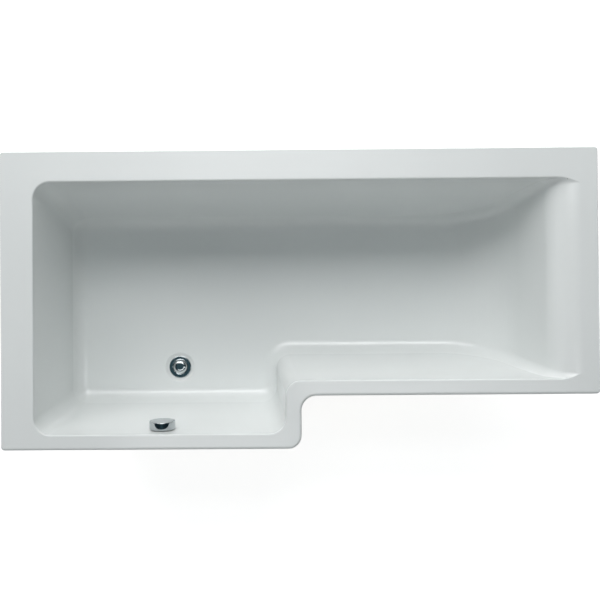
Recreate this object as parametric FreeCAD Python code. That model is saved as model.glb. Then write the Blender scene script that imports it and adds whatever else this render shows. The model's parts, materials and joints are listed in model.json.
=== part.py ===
"""L-shaped acrylic shower bath on an adjustable leg set, with a pop-up waste worked by the overflow knob.

Millimetres, +Z up. The origin is on the floor, under the middle of the rim's outline.
+X runs from the tap end to the head end, and +Y from the room side to the wall side.
"""
import FreeCAD, Part
import math
import os

# Rim outline, seen from above
BATH_LENGTH = 1700.0
WIDE_WIDTH = 850.0
WIDE_LENGTH = 855.0
STEP_DEPTH = 150.0
LIP_DROP = 45.0
OUTER_CORNER = 10.0
STEP_CORNER = 38.0
STEP_HOLLOW = 43.0
RIM_EDGE_ROUND = 8.0

# Rim widths, from the outline to the edge of the well
RIM_BACK = 87.0
RIM_TAP = 94.0
RIM_FRONT = 44.0
RIM_HEAD = 45.0

# Well, with the height of its floor above the room's, and drafts measured from upright
FLOOR_Z = 150.0
WELL_DEPTH = 400.0
ACRYLIC = 5.0
GRP = 4.0
GRP_TOP_BELOW_RIM = 60.0
END_DRAFT = math.radians(5.8)
SIDE_TOP_DRAFT = math.radians(5.0)
FRONT_FOOT_DRAFT = math.radians(15.0)
BACK_FOOT_DRAFT = math.radians(18.5)
BACKREST_DRAFT = math.radians(18.0)
BACKREST_ROLL = 100.0
BACKREST_SWEEP = 250.0
WELL_CORNER = 48.0
WELL_STEP_ROUND = 42.0
FLOOR_FILLET = 44.0
RIM_END_FILLET = 20.0

# Room that the tools which cut the well need around the bath
HEADROOM = 60.0
OVERRUN = 100.0

# Timber under the rim and board under the floor
BATTEN_HEIGHT = 25.0
BATTEN_WIDE = 38.0
BATTEN_NARROW = 22.0
BATTEN_END_GAP = 6.0
BOARD = 18.0
BOARD_INSET = 8.0
NOTCH_HALF_WIDTH = 62.0

# Leg set, with each bar's place from the edge of the board
LEG_TAP_INSET = 36.0
LEG_MIDDLE_INSET = 44.0
LEG_HEAD_INSET = 108.0
BAR_WIDTH = 40.0
BAR_HEIGHT = 30.0
BAR_WALL = 2.5
BAR_OVERHANG = 22.0
FOOT_OUTSET = 36.0
ROD_RADIUS = 5.0
ROD_ABOVE_BAR = 14.0
THREAD_CLEARANCE = 0.1
NUT_ACROSS_FLATS = 17.0
NUT_HEIGHT = 8.0
PAD_RADIUS = 24.0
PAD_NECK_RADIUS = 11.0
PAD_HEIGHT = 16.0
PAD_SOCKET = 6.0
SCREW_RADIUS = 2.2
SCREW_LENGTH = 14.0
SCREW_HEAD_RADIUS = 4.2
SCREW_HEAD_HEIGHT = 2.4
SCREW_SPREAD = 11.0
SCREW_BOARD_INSET = 30.0
FIT = 0.05

# Waste in the floor of the wide end, with its place as a share of that end's length
WASTE_SHARE = 0.544
WASTE_FROM_FRONT = 216.0
DISH_RADIUS = 44.0
DISH_DEPTH = 4.0
DISH_SLOPE = 4.0
WASTE_HOLE_RADIUS = 26.0
TOP_SEAL = 1.5
UNDER_SEAL = 4.0
FLANGE_RADIUS = 35.0
FLANGE_THICK = 3.0
FLANGE_LAND = 30.0
TAIL_RADIUS = 24.0
TAIL_WALL = 2.5
TAIL_LENGTH = 32.0
SEAT_DEPTH = 4.0
HUB_RADIUS = 8.0
HUB_HEIGHT = 8.0
SPOKE_WIDTH = 4.0
SPOKES = 3
CAP_RADIUS = 21.8
CAP_EDGE = 1.5
CAP_DOME = 5.5
PLUG_SEAL = 1.2
PLUG_SEAL_GAP = 0.64
STEM_RADIUS = 4.0
STEM_CLEARANCE = 0.1

# Plastic body under the waste
BODY_FLANGE_RADIUS = 38.0
BODY_FLANGE_THICK = 4.0
BODY_COLLAR = 13.0
BOWL_RADIUS = 32.5
BOWL_WALL = 3.5
BOWL_HEIGHT = 32.0
FUNNEL_HEIGHT = 10.0
OUTLET_RADIUS = 23.9
OUTLET_WALL = 4.4
OUTLET_LENGTH = 25.0
SCREWED_CLEARANCE = 0.3

# Lift lever, a bell crank: one arm under the stem, the other pulled by the cable
LEVER_REACH = 19.0
LEVER_SWING = math.radians(15.2)
LEVER_THICK = 4.0
LEVER_WIDTH = 6.0
LEVER_HUB = 4.0
LEVER_BELOW_BOWL_TOP = 20.0
LEVER_CABLE_ARM = 8.0
LEVER_GAP = 0.3
PIN_RADIUS = 2.0
LUG_GAP = 0.2
LUG_THICK = 3.8

# Overflow through the wide front wall, a little towards the tap end from the waste
OVERFLOW_OFFSET = 14.0
OVERFLOW_BELOW_RIM = 70.0
OVERFLOW_HOLE_RADIUS = 25.0
KNOB_RADIUS = 37.5
KNOB_DEPTH = 22.5
KNOB_WALL = 2.5
KNOB_GAP = 3.5
KNOB_EDGE_ROUND = 2.0
KNOB_BOSS_RADIUS = 8.0
BUSH_FLANGE_RADIUS = 30.0
BUSH_FLANGE_THICK = 3.0
BUSH_RADIUS = 23.0
BUSH_WALL = 3.5
OVERFLOW_SEAL = 4.5
ELBOW_FLANGE_RADIUS = 33.5
ELBOW_FLANGE_THICK = 4.0
ELBOW_RADIUS = 27.5
ELBOW_DEPTH = 27.0
ELBOW_BACK = 3.0
ELBOW_SPIGOT_DROP = 55.0
SPINDLE_RADIUS = 4.0
CRANK_RADIUS = 15.0
CRANK_THICK = 4.0
CRANK_PIN_RADIUS = 2.0
CRANK_PIN_THROW = 11.0

# Ribbed hose and cable between the overflow and the waste
SPIGOT_RADIUS = 12.5
SPIGOT_BORE = 10.0
INLET_REACH = 52.0
INLET_BELOW_BOWL_TOP = 16.0
HOSE_CREST = 13.5
HOSE_ROOT = 12.0
HOSE_BORE = 10.0
HOSE_BEND = 110.0
RIB_PITCH = 5.5
HOSE_NUT_RADIUS = 17.5
HOSE_NUT_ON_SPIGOT = 8.0
HOSE_NUT_ON_HOSE = 12.0
NUT_CLEARANCE = 0.2
CABLE_RADIUS = 3.0
CABLE_PORT_RADIUS = 8.0
CABLE_PORT_REACH = 46.0
CABLE_BOSS_RADIUS = 6.0
CABLE_BOSS_REACH = 42.0
CABLE_BEND_TOP = 60.0
CABLE_BEND_UNDER = 90.0
CABLE_BEND_END = 60.0
CABLE_STRAIGHT = 14.0
CABLE_INSERT = 10.0
FERRULE_RADIUS = 5.0
FERRULE_LENGTH = 12.0

V = FreeCAD.Vector
UP = V(0, 0, 1)
ALONG = V(1, 0, 0)
DEEP = V(0, 1, 0)

TAP_X = -BATH_LENGTH / 2
HEAD_X = BATH_LENGTH / 2
STEP_X = TAP_X + WIDE_LENGTH
BACK_Y = WIDE_WIDTH / 2
WIDE_FRONT_Y = -WIDE_WIDTH / 2
NARROW_FRONT_Y = WIDE_FRONT_Y + STEP_DEPTH
LINING = ACRYLIC + GRP
RIM_HEIGHT = FLOOR_Z + WELL_DEPTH
BOARD_TOP = FLOOR_Z - LINING
BAR_TOP = BOARD_TOP - BOARD
WASTE_X = TAP_X + WASTE_SHARE * WIDE_LENGTH
WASTE_Y = WIDE_FRONT_Y + WASTE_FROM_FRONT
OVERFLOW_X = WASTE_X - OVERFLOW_OFFSET


def line(start, end):
    return Part.LineSegment(start, end).toShape()


def arc(start, middle, end):
    return Part.Arc(start, middle, end).toShape()


def face(edges):
    return Part.Face(Part.Wire(edges))


def box(x0, x1, y0, y1, z0, z1):
    return Part.makeBox(x1 - x0, y1 - y0, z1 - z0, V(x0, y0, z0))


def rod(radius, start, direction, length):
    return Part.makeCylinder(radius, length, start, direction)


def tube(outer, inner, start, direction, length):
    return rod(outer, start, direction, length).cut(rod(inner, start, direction, length))


def turned(points, x, y):
    """A solid of revolution about an upright axis, from (radius, height) points."""
    corners = [V(r, 0, z) for r, z in points]
    outline = Part.Face(Part.makePolygon(corners + corners[:1]))
    solid = outline.revolve(V(0, 0, 0), UP, 360)
    solid.translate(V(x, y, 0))
    return solid


def edge_at(shape, point):
    """The edge that passes through a point."""
    spot = Part.Vertex(point)
    return min(shape.Edges, key=lambda edge: edge.distToShape(spot)[0])


def save(name, shape):
    solids = shape.Solids
    whole = solids[0] if len(solids) == 1 else Part.makeCompound(solids)
    whole.exportStep("parts/%s.step" % name)


def tap_wall_x(z, grow):
    """Place of the tap-end wall of the well at a height, grown outwards."""
    return TAP_X + RIM_TAP - grow / math.cos(END_DRAFT) + (RIM_HEIGHT - z) * math.tan(END_DRAFT)


def step_wall_x(z, grow):
    """Place of the short wall where the wide end steps in, grown outwards."""
    return STEP_X - RIM_FRONT + grow / math.cos(END_DRAFT) - (RIM_HEIGHT - z) * math.tan(END_DRAFT)


def side_wall_radius(foot_draft):
    """Side walls are arcs, steep at the rim and flatter at the foot."""
    return WELL_DEPTH / (math.sin(foot_draft) - math.sin(SIDE_TOP_DRAFT))


def side_wall_y(z, rim_y, side, foot_draft, grow):
    radius = side_wall_radius(foot_draft)
    centre_y = rim_y - side * radius * math.cos(SIDE_TOP_DRAFT)
    centre_z = RIM_HEIGHT + radius * math.sin(SIDE_TOP_DRAFT)
    return centre_y + side * math.sqrt((radius + grow) ** 2 - (centre_z - z) ** 2)


def back_wall_y(z, grow):
    return side_wall_y(z, BACK_Y - RIM_BACK, 1, BACK_FOOT_DRAFT, grow)


def wide_front_wall_y(z, grow):
    return side_wall_y(z, WIDE_FRONT_Y + RIM_FRONT, -1, FRONT_FOOT_DRAFT, grow)


def narrow_front_wall_y(z, grow):
    return side_wall_y(z, NARROW_FRONT_Y + RIM_FRONT, -1, FRONT_FOOT_DRAFT, grow)


def channel(front_wall_y, grow):
    """The space between the back wall and one front wall, as a long trough along X."""
    low = FLOOR_Z - grow - OVERRUN / 2
    high = RIM_HEIGHT + HEADROOM
    middle = (low + high) / 2

    def at(wall_y, z):
        return V(TAP_X - OVERRUN, wall_y(z, grow), z)

    section = face([
        arc(at(front_wall_y, low), at(front_wall_y, middle), at(front_wall_y, high)),
        line(at(front_wall_y, high), at(back_wall_y, high)),
        arc(at(back_wall_y, high), at(back_wall_y, middle), at(back_wall_y, low)),
        line(at(back_wall_y, low), at(front_wall_y, low)),
    ])
    return section.extrude(ALONG * (BATH_LENGTH + 2 * OVERRUN))


def across(edges):
    """A lengthwise section, drawn behind the bath, drawn out over the whole width."""
    return face(edges).extrude(DEEP * (-WIDE_WIDTH - 2 * OVERRUN))


def backrest_sweep_x():
    """Where the floor starts to sweep up into the backrest."""
    arcs = BACKREST_SWEEP + BACKREST_ROLL
    rise = (WELL_DEPTH - arcs) * math.sin(BACKREST_DRAFT)
    return HEAD_X - RIM_HEAD - (arcs + rise) / math.cos(BACKREST_DRAFT)


def lengthwise_space(grow):
    """Tap-end wall, floor, and the backrest that sweeps up and rolls over into the head-end rim."""
    y = BACK_Y + OVERRUN
    high = RIM_HEIGHT + HEADROOM
    floor = FLOOR_Z - grow
    far = HEAD_X + OVERRUN
    sweep = BACKREST_SWEEP + grow
    roll = BACKREST_ROLL - grow
    sweep_centre = V(backrest_sweep_x(), y, FLOOR_Z + BACKREST_SWEEP)
    roll_centre = V(HEAD_X - RIM_HEAD, y, RIM_HEIGHT - BACKREST_ROLL)
    half_way = (BACKREST_DRAFT + math.pi / 2) / 2

    def out(angle):
        return V(math.cos(angle), 0, -math.sin(angle))

    tap_high = V(tap_wall_x(high, grow), y, high)
    tap_low = V(tap_wall_x(floor, grow), y, floor)
    sweep_low = sweep_centre + out(math.pi / 2) * sweep
    sweep_high = sweep_centre + out(BACKREST_DRAFT) * sweep
    roll_low = roll_centre - out(BACKREST_DRAFT) * roll
    roll_high = roll_centre - out(math.pi / 2) * roll
    rim_far = V(far, y, RIM_HEIGHT - grow)
    return across([
        line(tap_high, tap_low),
        line(tap_low, sweep_low),
        arc(sweep_low, sweep_centre + out(half_way) * sweep, sweep_high),
        line(sweep_high, roll_low),
        arc(roll_low, roll_centre - out(half_way) * roll, roll_high),
        line(roll_high, rim_far),
        line(rim_far, V(far, y, high)),
        line(V(far, y, high), tap_high),
    ])


def wide_end_space(grow):
    """Everything on the tap side of the step wall."""
    y = BACK_Y + OVERRUN
    low = FLOOR_Z - grow - OVERRUN
    high = RIM_HEIGHT + HEADROOM
    start = TAP_X - OVERRUN
    step_low = V(step_wall_x(low, grow), y, low)
    step_high = V(step_wall_x(high, grow), y, high)
    return across([
        line(V(start, y, low), step_low),
        line(step_low, step_high),
        line(step_high, V(start, y, high)),
        line(V(start, y, high), V(start, y, low)),
    ])


def foot_radius(point, grow):
    """Radius where the walls meet the floor and backrest: full at the floor, and narrowing up to the rim."""
    share = min(1, max(0, (point.z - FLOOR_Z) / WELL_DEPTH))
    return FLOOR_FILLET + share * (RIM_END_FILLET - FLOOR_FILLET) + grow


def round_foot(space, grow):
    """Fillet the one long edge that runs down one side of the backrest, round the floor and up the other side.

    Its radius is set at both ends of each piece of it, in the order that the whole edge runs.
    """
    sweep_x = backrest_sweep_x()
    pieces = []
    for number, edge in enumerate(space.Edges, 1):
        size = edge.BoundBox
        ends = [edge.valueAt(edge.FirstParameter), edge.valueAt(edge.LastParameter)]
        on_floor = size.ZMax < FLOOR_Z - grow + 0.01
        on_backrest = size.XMin > sweep_x - 0.01 and size.XLength > 1 and size.ZMax < RIM_HEIGHT + 0.01
        across_sweep = size.XLength < 0.01 and abs(size.XMin - sweep_x) < 0.01
        if (on_floor or on_backrest) and not across_sweep:
            pieces.append((number, ends))
    first = max(pieces, key=lambda piece: abs(piece[1][0].x - piece[1][1].x) - 2 * piece[1][0].y)[1]
    from_front = first[0].x > first[1].x
    pieces.sort(key=lambda piece: piece[1] is not first)
    settings = []
    for number, ends in pieces:
        tapwards = sorted(ends, key=lambda end: -end.x)
        in_front = ends[0].y < 0
        order = tapwards if in_front == from_front else tapwards[::-1]
        settings.append((number, foot_radius(order[0], grow), foot_radius(order[1], grow)))
    document = FreeCAD.newDocument()
    base = document.addObject("Part::Feature", "Space")
    base.Shape = space
    rounded = document.addObject("Part::Fillet", "Rounded")
    rounded.Base = base
    rounded.Edges = settings
    document.recompute()
    return rounded.Shape


def well(grow):
    """The space inside the shell, grown outwards by the thickness of its lining, and open above the rim."""
    wide = channel(wide_front_wall_y, grow).common(wide_end_space(grow))
    plan = channel(narrow_front_wall_y, grow).fuse(wide)
    space = lengthwise_space(grow).common(plan).removeSplitter()

    def corner(x, y):
        return edge_at(space, V(x, y, RIM_HEIGHT))

    tap_x = tap_wall_x(RIM_HEIGHT, grow)
    step_x = step_wall_x(RIM_HEIGHT, grow)
    wide_y = wide_front_wall_y(RIM_HEIGHT, grow)
    hollows = [corner(tap_x, back_wall_y(RIM_HEIGHT, grow)), corner(tap_x, wide_y), corner(step_x, wide_y)]
    space = space.makeFillet(WELL_CORNER + grow, hollows)
    space = space.makeFillet(WELL_STEP_ROUND - grow, [corner(step_x, narrow_front_wall_y(RIM_HEIGHT, grow))])
    space = round_foot(space, grow)
    floor = FLOOR_Z - grow
    dish = Part.makeCone(DISH_RADIUS - DISH_SLOPE + grow, DISH_RADIUS + DISH_SLOPE + grow, 2 * DISH_DEPTH,
                         V(WASTE_X, WASTE_Y, floor - DISH_DEPTH))
    return space.fuse(dish).removeSplitter()


def rounded_outline(corners, z):
    """A closed outline at a height, from (x, y, corner radius)."""
    points = [V(x, y, z) for x, y, radius in corners]
    edges = []
    for i, corner in enumerate(points):
        radius = corners[i][2]
        back = (points[i - 1] - corner).normalize()
        ahead = (points[(i + 1) % len(points)] - corner).normalize()
        half = back.getAngle(ahead) / 2
        middle = (back + ahead).normalize()
        reach = radius / math.tan(half)
        bulge = corner + middle * (radius / math.sin(half) - radius)
        edges.append(arc(corner + back * reach, bulge, corner + ahead * reach))
    joined = []
    for i, bend in enumerate(edges):
        following = edges[(i + 1) % len(edges)]
        joined.append(bend)
        joined.append(line(bend.Vertexes[-1].Point, following.Vertexes[0].Point))
    return Part.Face(Part.Wire(joined))


def rim_outline(inset, z):
    left = TAP_X + inset
    right = HEAD_X - inset
    step = STEP_X - inset
    back = BACK_Y - inset
    wide = WIDE_FRONT_Y + inset
    narrow = NARROW_FRONT_Y + inset
    small = OUTER_CORNER - inset
    return rounded_outline([
        (left, wide, small),
        (step, wide, STEP_CORNER - inset),
        (step, narrow, STEP_HOLLOW + inset),
        (right, narrow, small),
        (right, back, small),
        (left, back, small),
    ], z)


def rim_block(inset, low, high, edge_round):
    """The rim outline drawn up to a height, with its top edge rounded."""
    block = rim_outline(inset, low).extrude(UP * (high - low))
    top = [edge for edge in block.Edges if edge.BoundBox.ZMin > high - 0.01]
    return block.makeFillet(edge_round, top)


def acrylic_shell(inner_well, outer_well):
    lip_low = RIM_HEIGHT - LIP_DROP
    rim = rim_block(0, lip_low, RIM_HEIGHT, RIM_EDGE_ROUND)
    under = rim_block(ACRYLIC, lip_low - OVERRUN, RIM_HEIGHT - ACRYLIC, RIM_EDGE_ROUND - ACRYLIC)
    below_rim = box(TAP_X + RIM_TAP / 2, HEAD_X - 2 * OUTER_CORNER, WIDE_FRONT_Y + OUTER_CORNER, BACK_Y - RIM_BACK / 2,
                    0, RIM_HEIGHT - ACRYLIC / 2)
    shell = rim.cut(under).fuse(outer_well.common(below_rim)).cut(inner_well)
    return shell.cut(waste_hole()).cut(overflow_hole()).removeSplitter()


def grp_reinforcement(outer_well, grp_well):
    low = FLOOR_Z - WELL_DEPTH
    below = box(TAP_X, HEAD_X, WIDE_FRONT_Y, BACK_Y, low, RIM_HEIGHT - GRP_TOP_BELOW_RIM)
    layer = grp_well.common(below).cut(outer_well)
    return layer.cut(waste_hole()).cut(overflow_hole())


def waste_hole():
    return rod(WASTE_HOLE_RADIUS, V(WASTE_X, WASTE_Y, FLOOR_Z - OVERRUN), UP, 2 * OVERRUN)


def overflow_point():
    """Where the knob's axis meets the inner face of the wide front wall."""
    z = RIM_HEIGHT - OVERFLOW_BELOW_RIM
    return V(OVERFLOW_X, wide_front_wall_y(z, 0), z)


def overflow_axis():
    """The way the knob faces: square to the wall, into the well."""
    tilt = math.sin(SIDE_TOP_DRAFT) + OVERFLOW_BELOW_RIM / side_wall_radius(FRONT_FOOT_DRAFT)
    return V(0, math.sqrt(1 - tilt * tilt), tilt)


def on_overflow(outer, inner, start, end):
    """A ring (or disc, with no inner radius) about the knob's axis, between two distances from the wall."""
    axis = overflow_axis()
    base = overflow_point() + axis * start
    solid = rod(outer, base, axis, end - start)
    return solid.cut(rod(inner, base, axis, end - start)) if inner else solid


def overflow_hole():
    return on_overflow(OVERFLOW_HOLE_RADIUS, 0, -OVERRUN, OVERRUN)


def battens():
    """Timber bonded under the rim, just inside the lip."""
    top = RIM_HEIGHT - ACRYLIC
    low = top - BATTEN_HEIGHT
    left = TAP_X + RIM_EDGE_ROUND
    right = HEAD_X - RIM_EDGE_ROUND
    step = STEP_X - RIM_EDGE_ROUND
    back = BACK_Y - RIM_EDGE_ROUND
    wide = WIDE_FRONT_Y + RIM_EDGE_ROUND
    narrow = NARROW_FRONT_Y + RIM_EDGE_ROUND
    gap = BATTEN_END_GAP
    return {
        "rim_batten_back": box(left + gap, right - gap, back - BATTEN_WIDE, back, low, top),
        "rim_batten_tap_end": box(left, left + BATTEN_WIDE, wide + BATTEN_NARROW + gap,
                                  back - BATTEN_WIDE - gap, low, top),
        "rim_batten_head_end": box(right - BATTEN_NARROW, right, narrow + BATTEN_NARROW + gap,
                                   back - BATTEN_WIDE - gap, low, top),
        "rim_batten_front_wide": box(left + gap, step - STEP_CORNER, wide, wide + BATTEN_NARROW, low, top),
        "rim_batten_step": box(step - BATTEN_NARROW, step, wide + STEP_CORNER, narrow - gap, low, top),
        "rim_batten_front_narrow": box(step + gap + STEP_HOLLOW, right - gap, narrow,
                                       narrow + BATTEN_NARROW, low, top),
    }


def flat_edge(foot_draft):
    """How far the fillet at the foot of a wall reaches in over the floor."""
    return (FLOOR_FILLET + LINING) * math.tan((math.pi / 2 - foot_draft) / 2)


def board_edges():
    """Limits of the flat under the floor: tap, step and head end, back, wide front and narrow front."""
    z = BOARD_TOP
    end_in = flat_edge(END_DRAFT) + BOARD_INSET
    front_in = flat_edge(FRONT_FOOT_DRAFT) + BOARD_INSET
    back_in = flat_edge(BACK_FOOT_DRAFT) + BOARD_INSET
    return (tap_wall_x(z, LINING) + end_in, step_wall_x(z, LINING) - end_in, backrest_sweep_x() - BOARD_INSET,
            back_wall_y(z, LINING) - back_in, wide_front_wall_y(z, LINING) + front_in,
            narrow_front_wall_y(z, LINING) + front_in)


def baseboard():
    tap, step, head, back, wide, narrow = board_edges()
    board = box(tap, head, narrow, back, BAR_TOP, BOARD_TOP)
    board = board.fuse(box(tap, step, wide, narrow, BAR_TOP, BOARD_TOP)).removeSplitter()
    notch = box(WASTE_X - NOTCH_HALF_WIDTH, WASTE_X + NOTCH_HALF_WIDTH, wide - OVERRUN,
                WASTE_Y + NOTCH_HALF_WIDTH, 0, BOARD_TOP)
    board = board.cut(notch)
    for spot in screw_spots():
        board = board.cut(rod(SCREW_RADIUS + FIT, spot, UP, SCREW_LENGTH))
    return board


def leg_bars():
    """Each leg bar: name, place along the bath, and the front wall that its front foot stands under."""
    tap, step, head, back, wide, narrow = board_edges()
    return [
        ("tap", tap + LEG_TAP_INSET, wide_front_wall_y),
        ("middle", step - LEG_MIDDLE_INSET, wide_front_wall_y),
        ("head", head - LEG_HEAD_INSET, narrow_front_wall_y),
    ]


def foot_spots():
    """Each foot: name and place, just outside the foot of the well's wall."""
    spots = []
    for name, x, front_wall_y in leg_bars():
        spots.append((name + "_front", V(x, front_wall_y(BOARD_TOP, LINING) - FOOT_OUTSET, 0)))
        spots.append((name + "_back", V(x, back_wall_y(BOARD_TOP, LINING) + FOOT_OUTSET, 0)))
    return spots


def bar_screws(x, front_wall_y):
    """Where the four screws of one bar enter the board."""
    tap, step, head, back, wide, narrow = board_edges()
    front = wide if front_wall_y is wide_front_wall_y else narrow
    spots = []
    for y in (front + SCREW_BOARD_INSET, back - SCREW_BOARD_INSET):
        spots.append(V(x - SCREW_SPREAD, y, BAR_TOP))
        spots.append(V(x + SCREW_SPREAD, y, BAR_TOP))
    return spots


def screw_spots():
    spots = []
    for name, x, front_wall_y in leg_bars():
        spots.extend(bar_screws(x, front_wall_y))
    return spots


def leg_bar(name, x, front_wall_y):
    """A steel channel across the bath, open below, with a hole near each end for an adjuster rod."""
    feet = [spot for foot, spot in foot_spots() if foot.startswith(name)]
    start = feet[0].y - BAR_OVERHANG
    end = feet[1].y + BAR_OVERHANG
    half = BAR_WIDTH / 2
    low = BAR_TOP - BAR_HEIGHT
    bar = box(x - half, x + half, start, end, low, BAR_TOP)
    bar = bar.cut(box(x - half + BAR_WALL, x + half - BAR_WALL, start, end, low, BAR_TOP - BAR_WALL))
    for spot in feet:
        bar = bar.cut(rod(ROD_RADIUS + 5 * THREAD_CLEARANCE, spot, UP, RIM_HEIGHT))
    for spot in bar_screws(x, front_wall_y):
        bar = bar.cut(rod(SCREW_RADIUS + FIT, spot - UP * BAR_HEIGHT, UP, BAR_HEIGHT))
    return bar


def leg_screws():
    screws = []
    for spot in screw_spots():
        under = spot - UP * BAR_WALL
        shank = rod(SCREW_RADIUS, under, UP, SCREW_LENGTH - FIT + BAR_WALL)
        head = rod(SCREW_HEAD_RADIUS, under - UP * SCREW_HEAD_HEIGHT, UP, SCREW_HEAD_HEIGHT)
        screws.append(shank.fuse(head).removeSplitter())
    return Part.makeCompound(screws)


def lock_nuts(z):
    """One hexagon nut on every rod, at a height."""
    nuts = []
    for foot, spot in foot_spots():
        base = spot + UP * z
        reach = NUT_ACROSS_FLATS / math.sqrt(3)
        corners = [base + V(math.cos(k * math.pi / 3), math.sin(k * math.pi / 3), 0) * reach for k in range(7)]
        nut = Part.Face(Part.makePolygon(corners)).extrude(UP * NUT_HEIGHT)
        nuts.append(nut.cut(rod(ROD_RADIUS + THREAD_CLEARANCE, base, UP, NUT_HEIGHT)))
    return Part.makeCompound(nuts)


def adjuster_rod(spot):
    low = PAD_HEIGHT - PAD_SOCKET
    length = BAR_TOP + NUT_HEIGHT + ROD_ABOVE_BAR - low
    adjuster = rod(ROD_RADIUS, spot + UP * low, UP, length)
    top = [edge for edge in adjuster.Edges if edge.BoundBox.ZMin > low + length - 0.01]
    return adjuster.makeChamfer(1, top)


def foot_pad(spot):
    """A wide plastic foot with a neck and a blind socket for the rod."""
    socket = PAD_HEIGHT - PAD_SOCKET
    return turned([
        (0, 0), (PAD_RADIUS - 1.5, 0), (PAD_RADIUS, 1.5), (PAD_RADIUS, 4), (PAD_NECK_RADIUS + 1, socket),
        (PAD_NECK_RADIUS, PAD_HEIGHT), (ROD_RADIUS + FIT, PAD_HEIGHT), (ROD_RADIUS + FIT, socket), (0, socket),
    ], spot.x, spot.y)


# Heights in the waste, from the floor of the dish downwards
DISH_Z = FLOOR_Z - DISH_DEPTH
FLANGE_LOW = DISH_Z + TOP_SEAL
FLANGE_TOP = FLANGE_LOW + FLANGE_THICK
SEAT_LOW = FLANGE_TOP - SEAT_DEPTH
TAIL_LOW = FLANGE_LOW - TAIL_LENGTH
TAIL_BORE = TAIL_RADIUS - TAIL_WALL
UNDER_SEAL_LOW = DISH_Z - LINING - UNDER_SEAL
BODY_TOP = UNDER_SEAL_LOW
BOWL_TOP = BODY_TOP - BODY_COLLAR
BOWL_LOW = BOWL_TOP - BOWL_HEIGHT
OUTLET_TOP = BOWL_LOW - FUNNEL_HEIGHT
OUTLET_LOW = OUTLET_TOP - OUTLET_LENGTH
BOWL_BORE = BOWL_RADIUS - BOWL_WALL
OUTLET_BORE = OUTLET_RADIUS - OUTLET_WALL
SEAT_SLOPE = (FLANGE_LAND - TAIL_BORE - 1) / SEAT_DEPTH
CAP_LOW = SEAT_LOW + 0.5 + PLUG_SEAL
WASTE = V(WASTE_X, WASTE_Y, 0)


def waste_flange():
    """Chrome ring with a conical seat, a screwed tail, and a spider that guides the plug's stem."""
    ring = turned([
        (TAIL_BORE, TAIL_LOW), (TAIL_RADIUS, TAIL_LOW), (TAIL_RADIUS, FLANGE_LOW), (FLANGE_RADIUS, FLANGE_LOW),
        (FLANGE_RADIUS, FLANGE_TOP - 1.2), (FLANGE_RADIUS - 1.2, FLANGE_TOP), (FLANGE_LAND, FLANGE_TOP),
        (TAIL_BORE + 1, SEAT_LOW), (TAIL_BORE, SEAT_LOW),
    ], WASTE_X, WASTE_Y)
    hub_low = WASTE + UP * (TAIL_LOW + HUB_HEIGHT)
    spider = rod(HUB_RADIUS, hub_low, UP, HUB_HEIGHT)
    for k in range(SPOKES):
        spoke = Part.makeBox(TAIL_BORE + 1, SPOKE_WIDTH, HUB_HEIGHT, hub_low - DEEP * (SPOKE_WIDTH / 2))
        spoke.rotate(WASTE, UP, 90 + 360 * k / SPOKES)
        spider = spider.fuse(spoke)
    guide = rod(STEM_RADIUS + STEM_CLEARANCE, hub_low, UP, HUB_HEIGHT)
    return ring.fuse(spider).cut(guide).removeSplitter()


def waste_top_seal():
    return tube(FLANGE_RADIUS - 2, WASTE_HOLE_RADIUS, WASTE + UP * DISH_Z, UP, TOP_SEAL)


def waste_under_seal():
    return tube(BODY_FLANGE_RADIUS - 2, WASTE_HOLE_RADIUS, WASTE + UP * UNDER_SEAL_LOW, UP, UNDER_SEAL)


def inlet_way():
    """The way from the waste to the overflow elbow, seen from above."""
    way = elbow_centre() - WASTE
    return V(way.x, way.y, 0).normalize()


def inlet_start():
    return WASTE + UP * (BOWL_TOP - INLET_BELOW_BOWL_TOP)


def lever_pivot():
    return WASTE + ALONG * LEVER_REACH + UP * (BOWL_TOP - LEVER_BELOW_BOWL_TOP)


def cable_port_start():
    return WASTE + UP * (lever_pivot().z + LEVER_CABLE_ARM - LEVER_THICK / 2)


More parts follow.
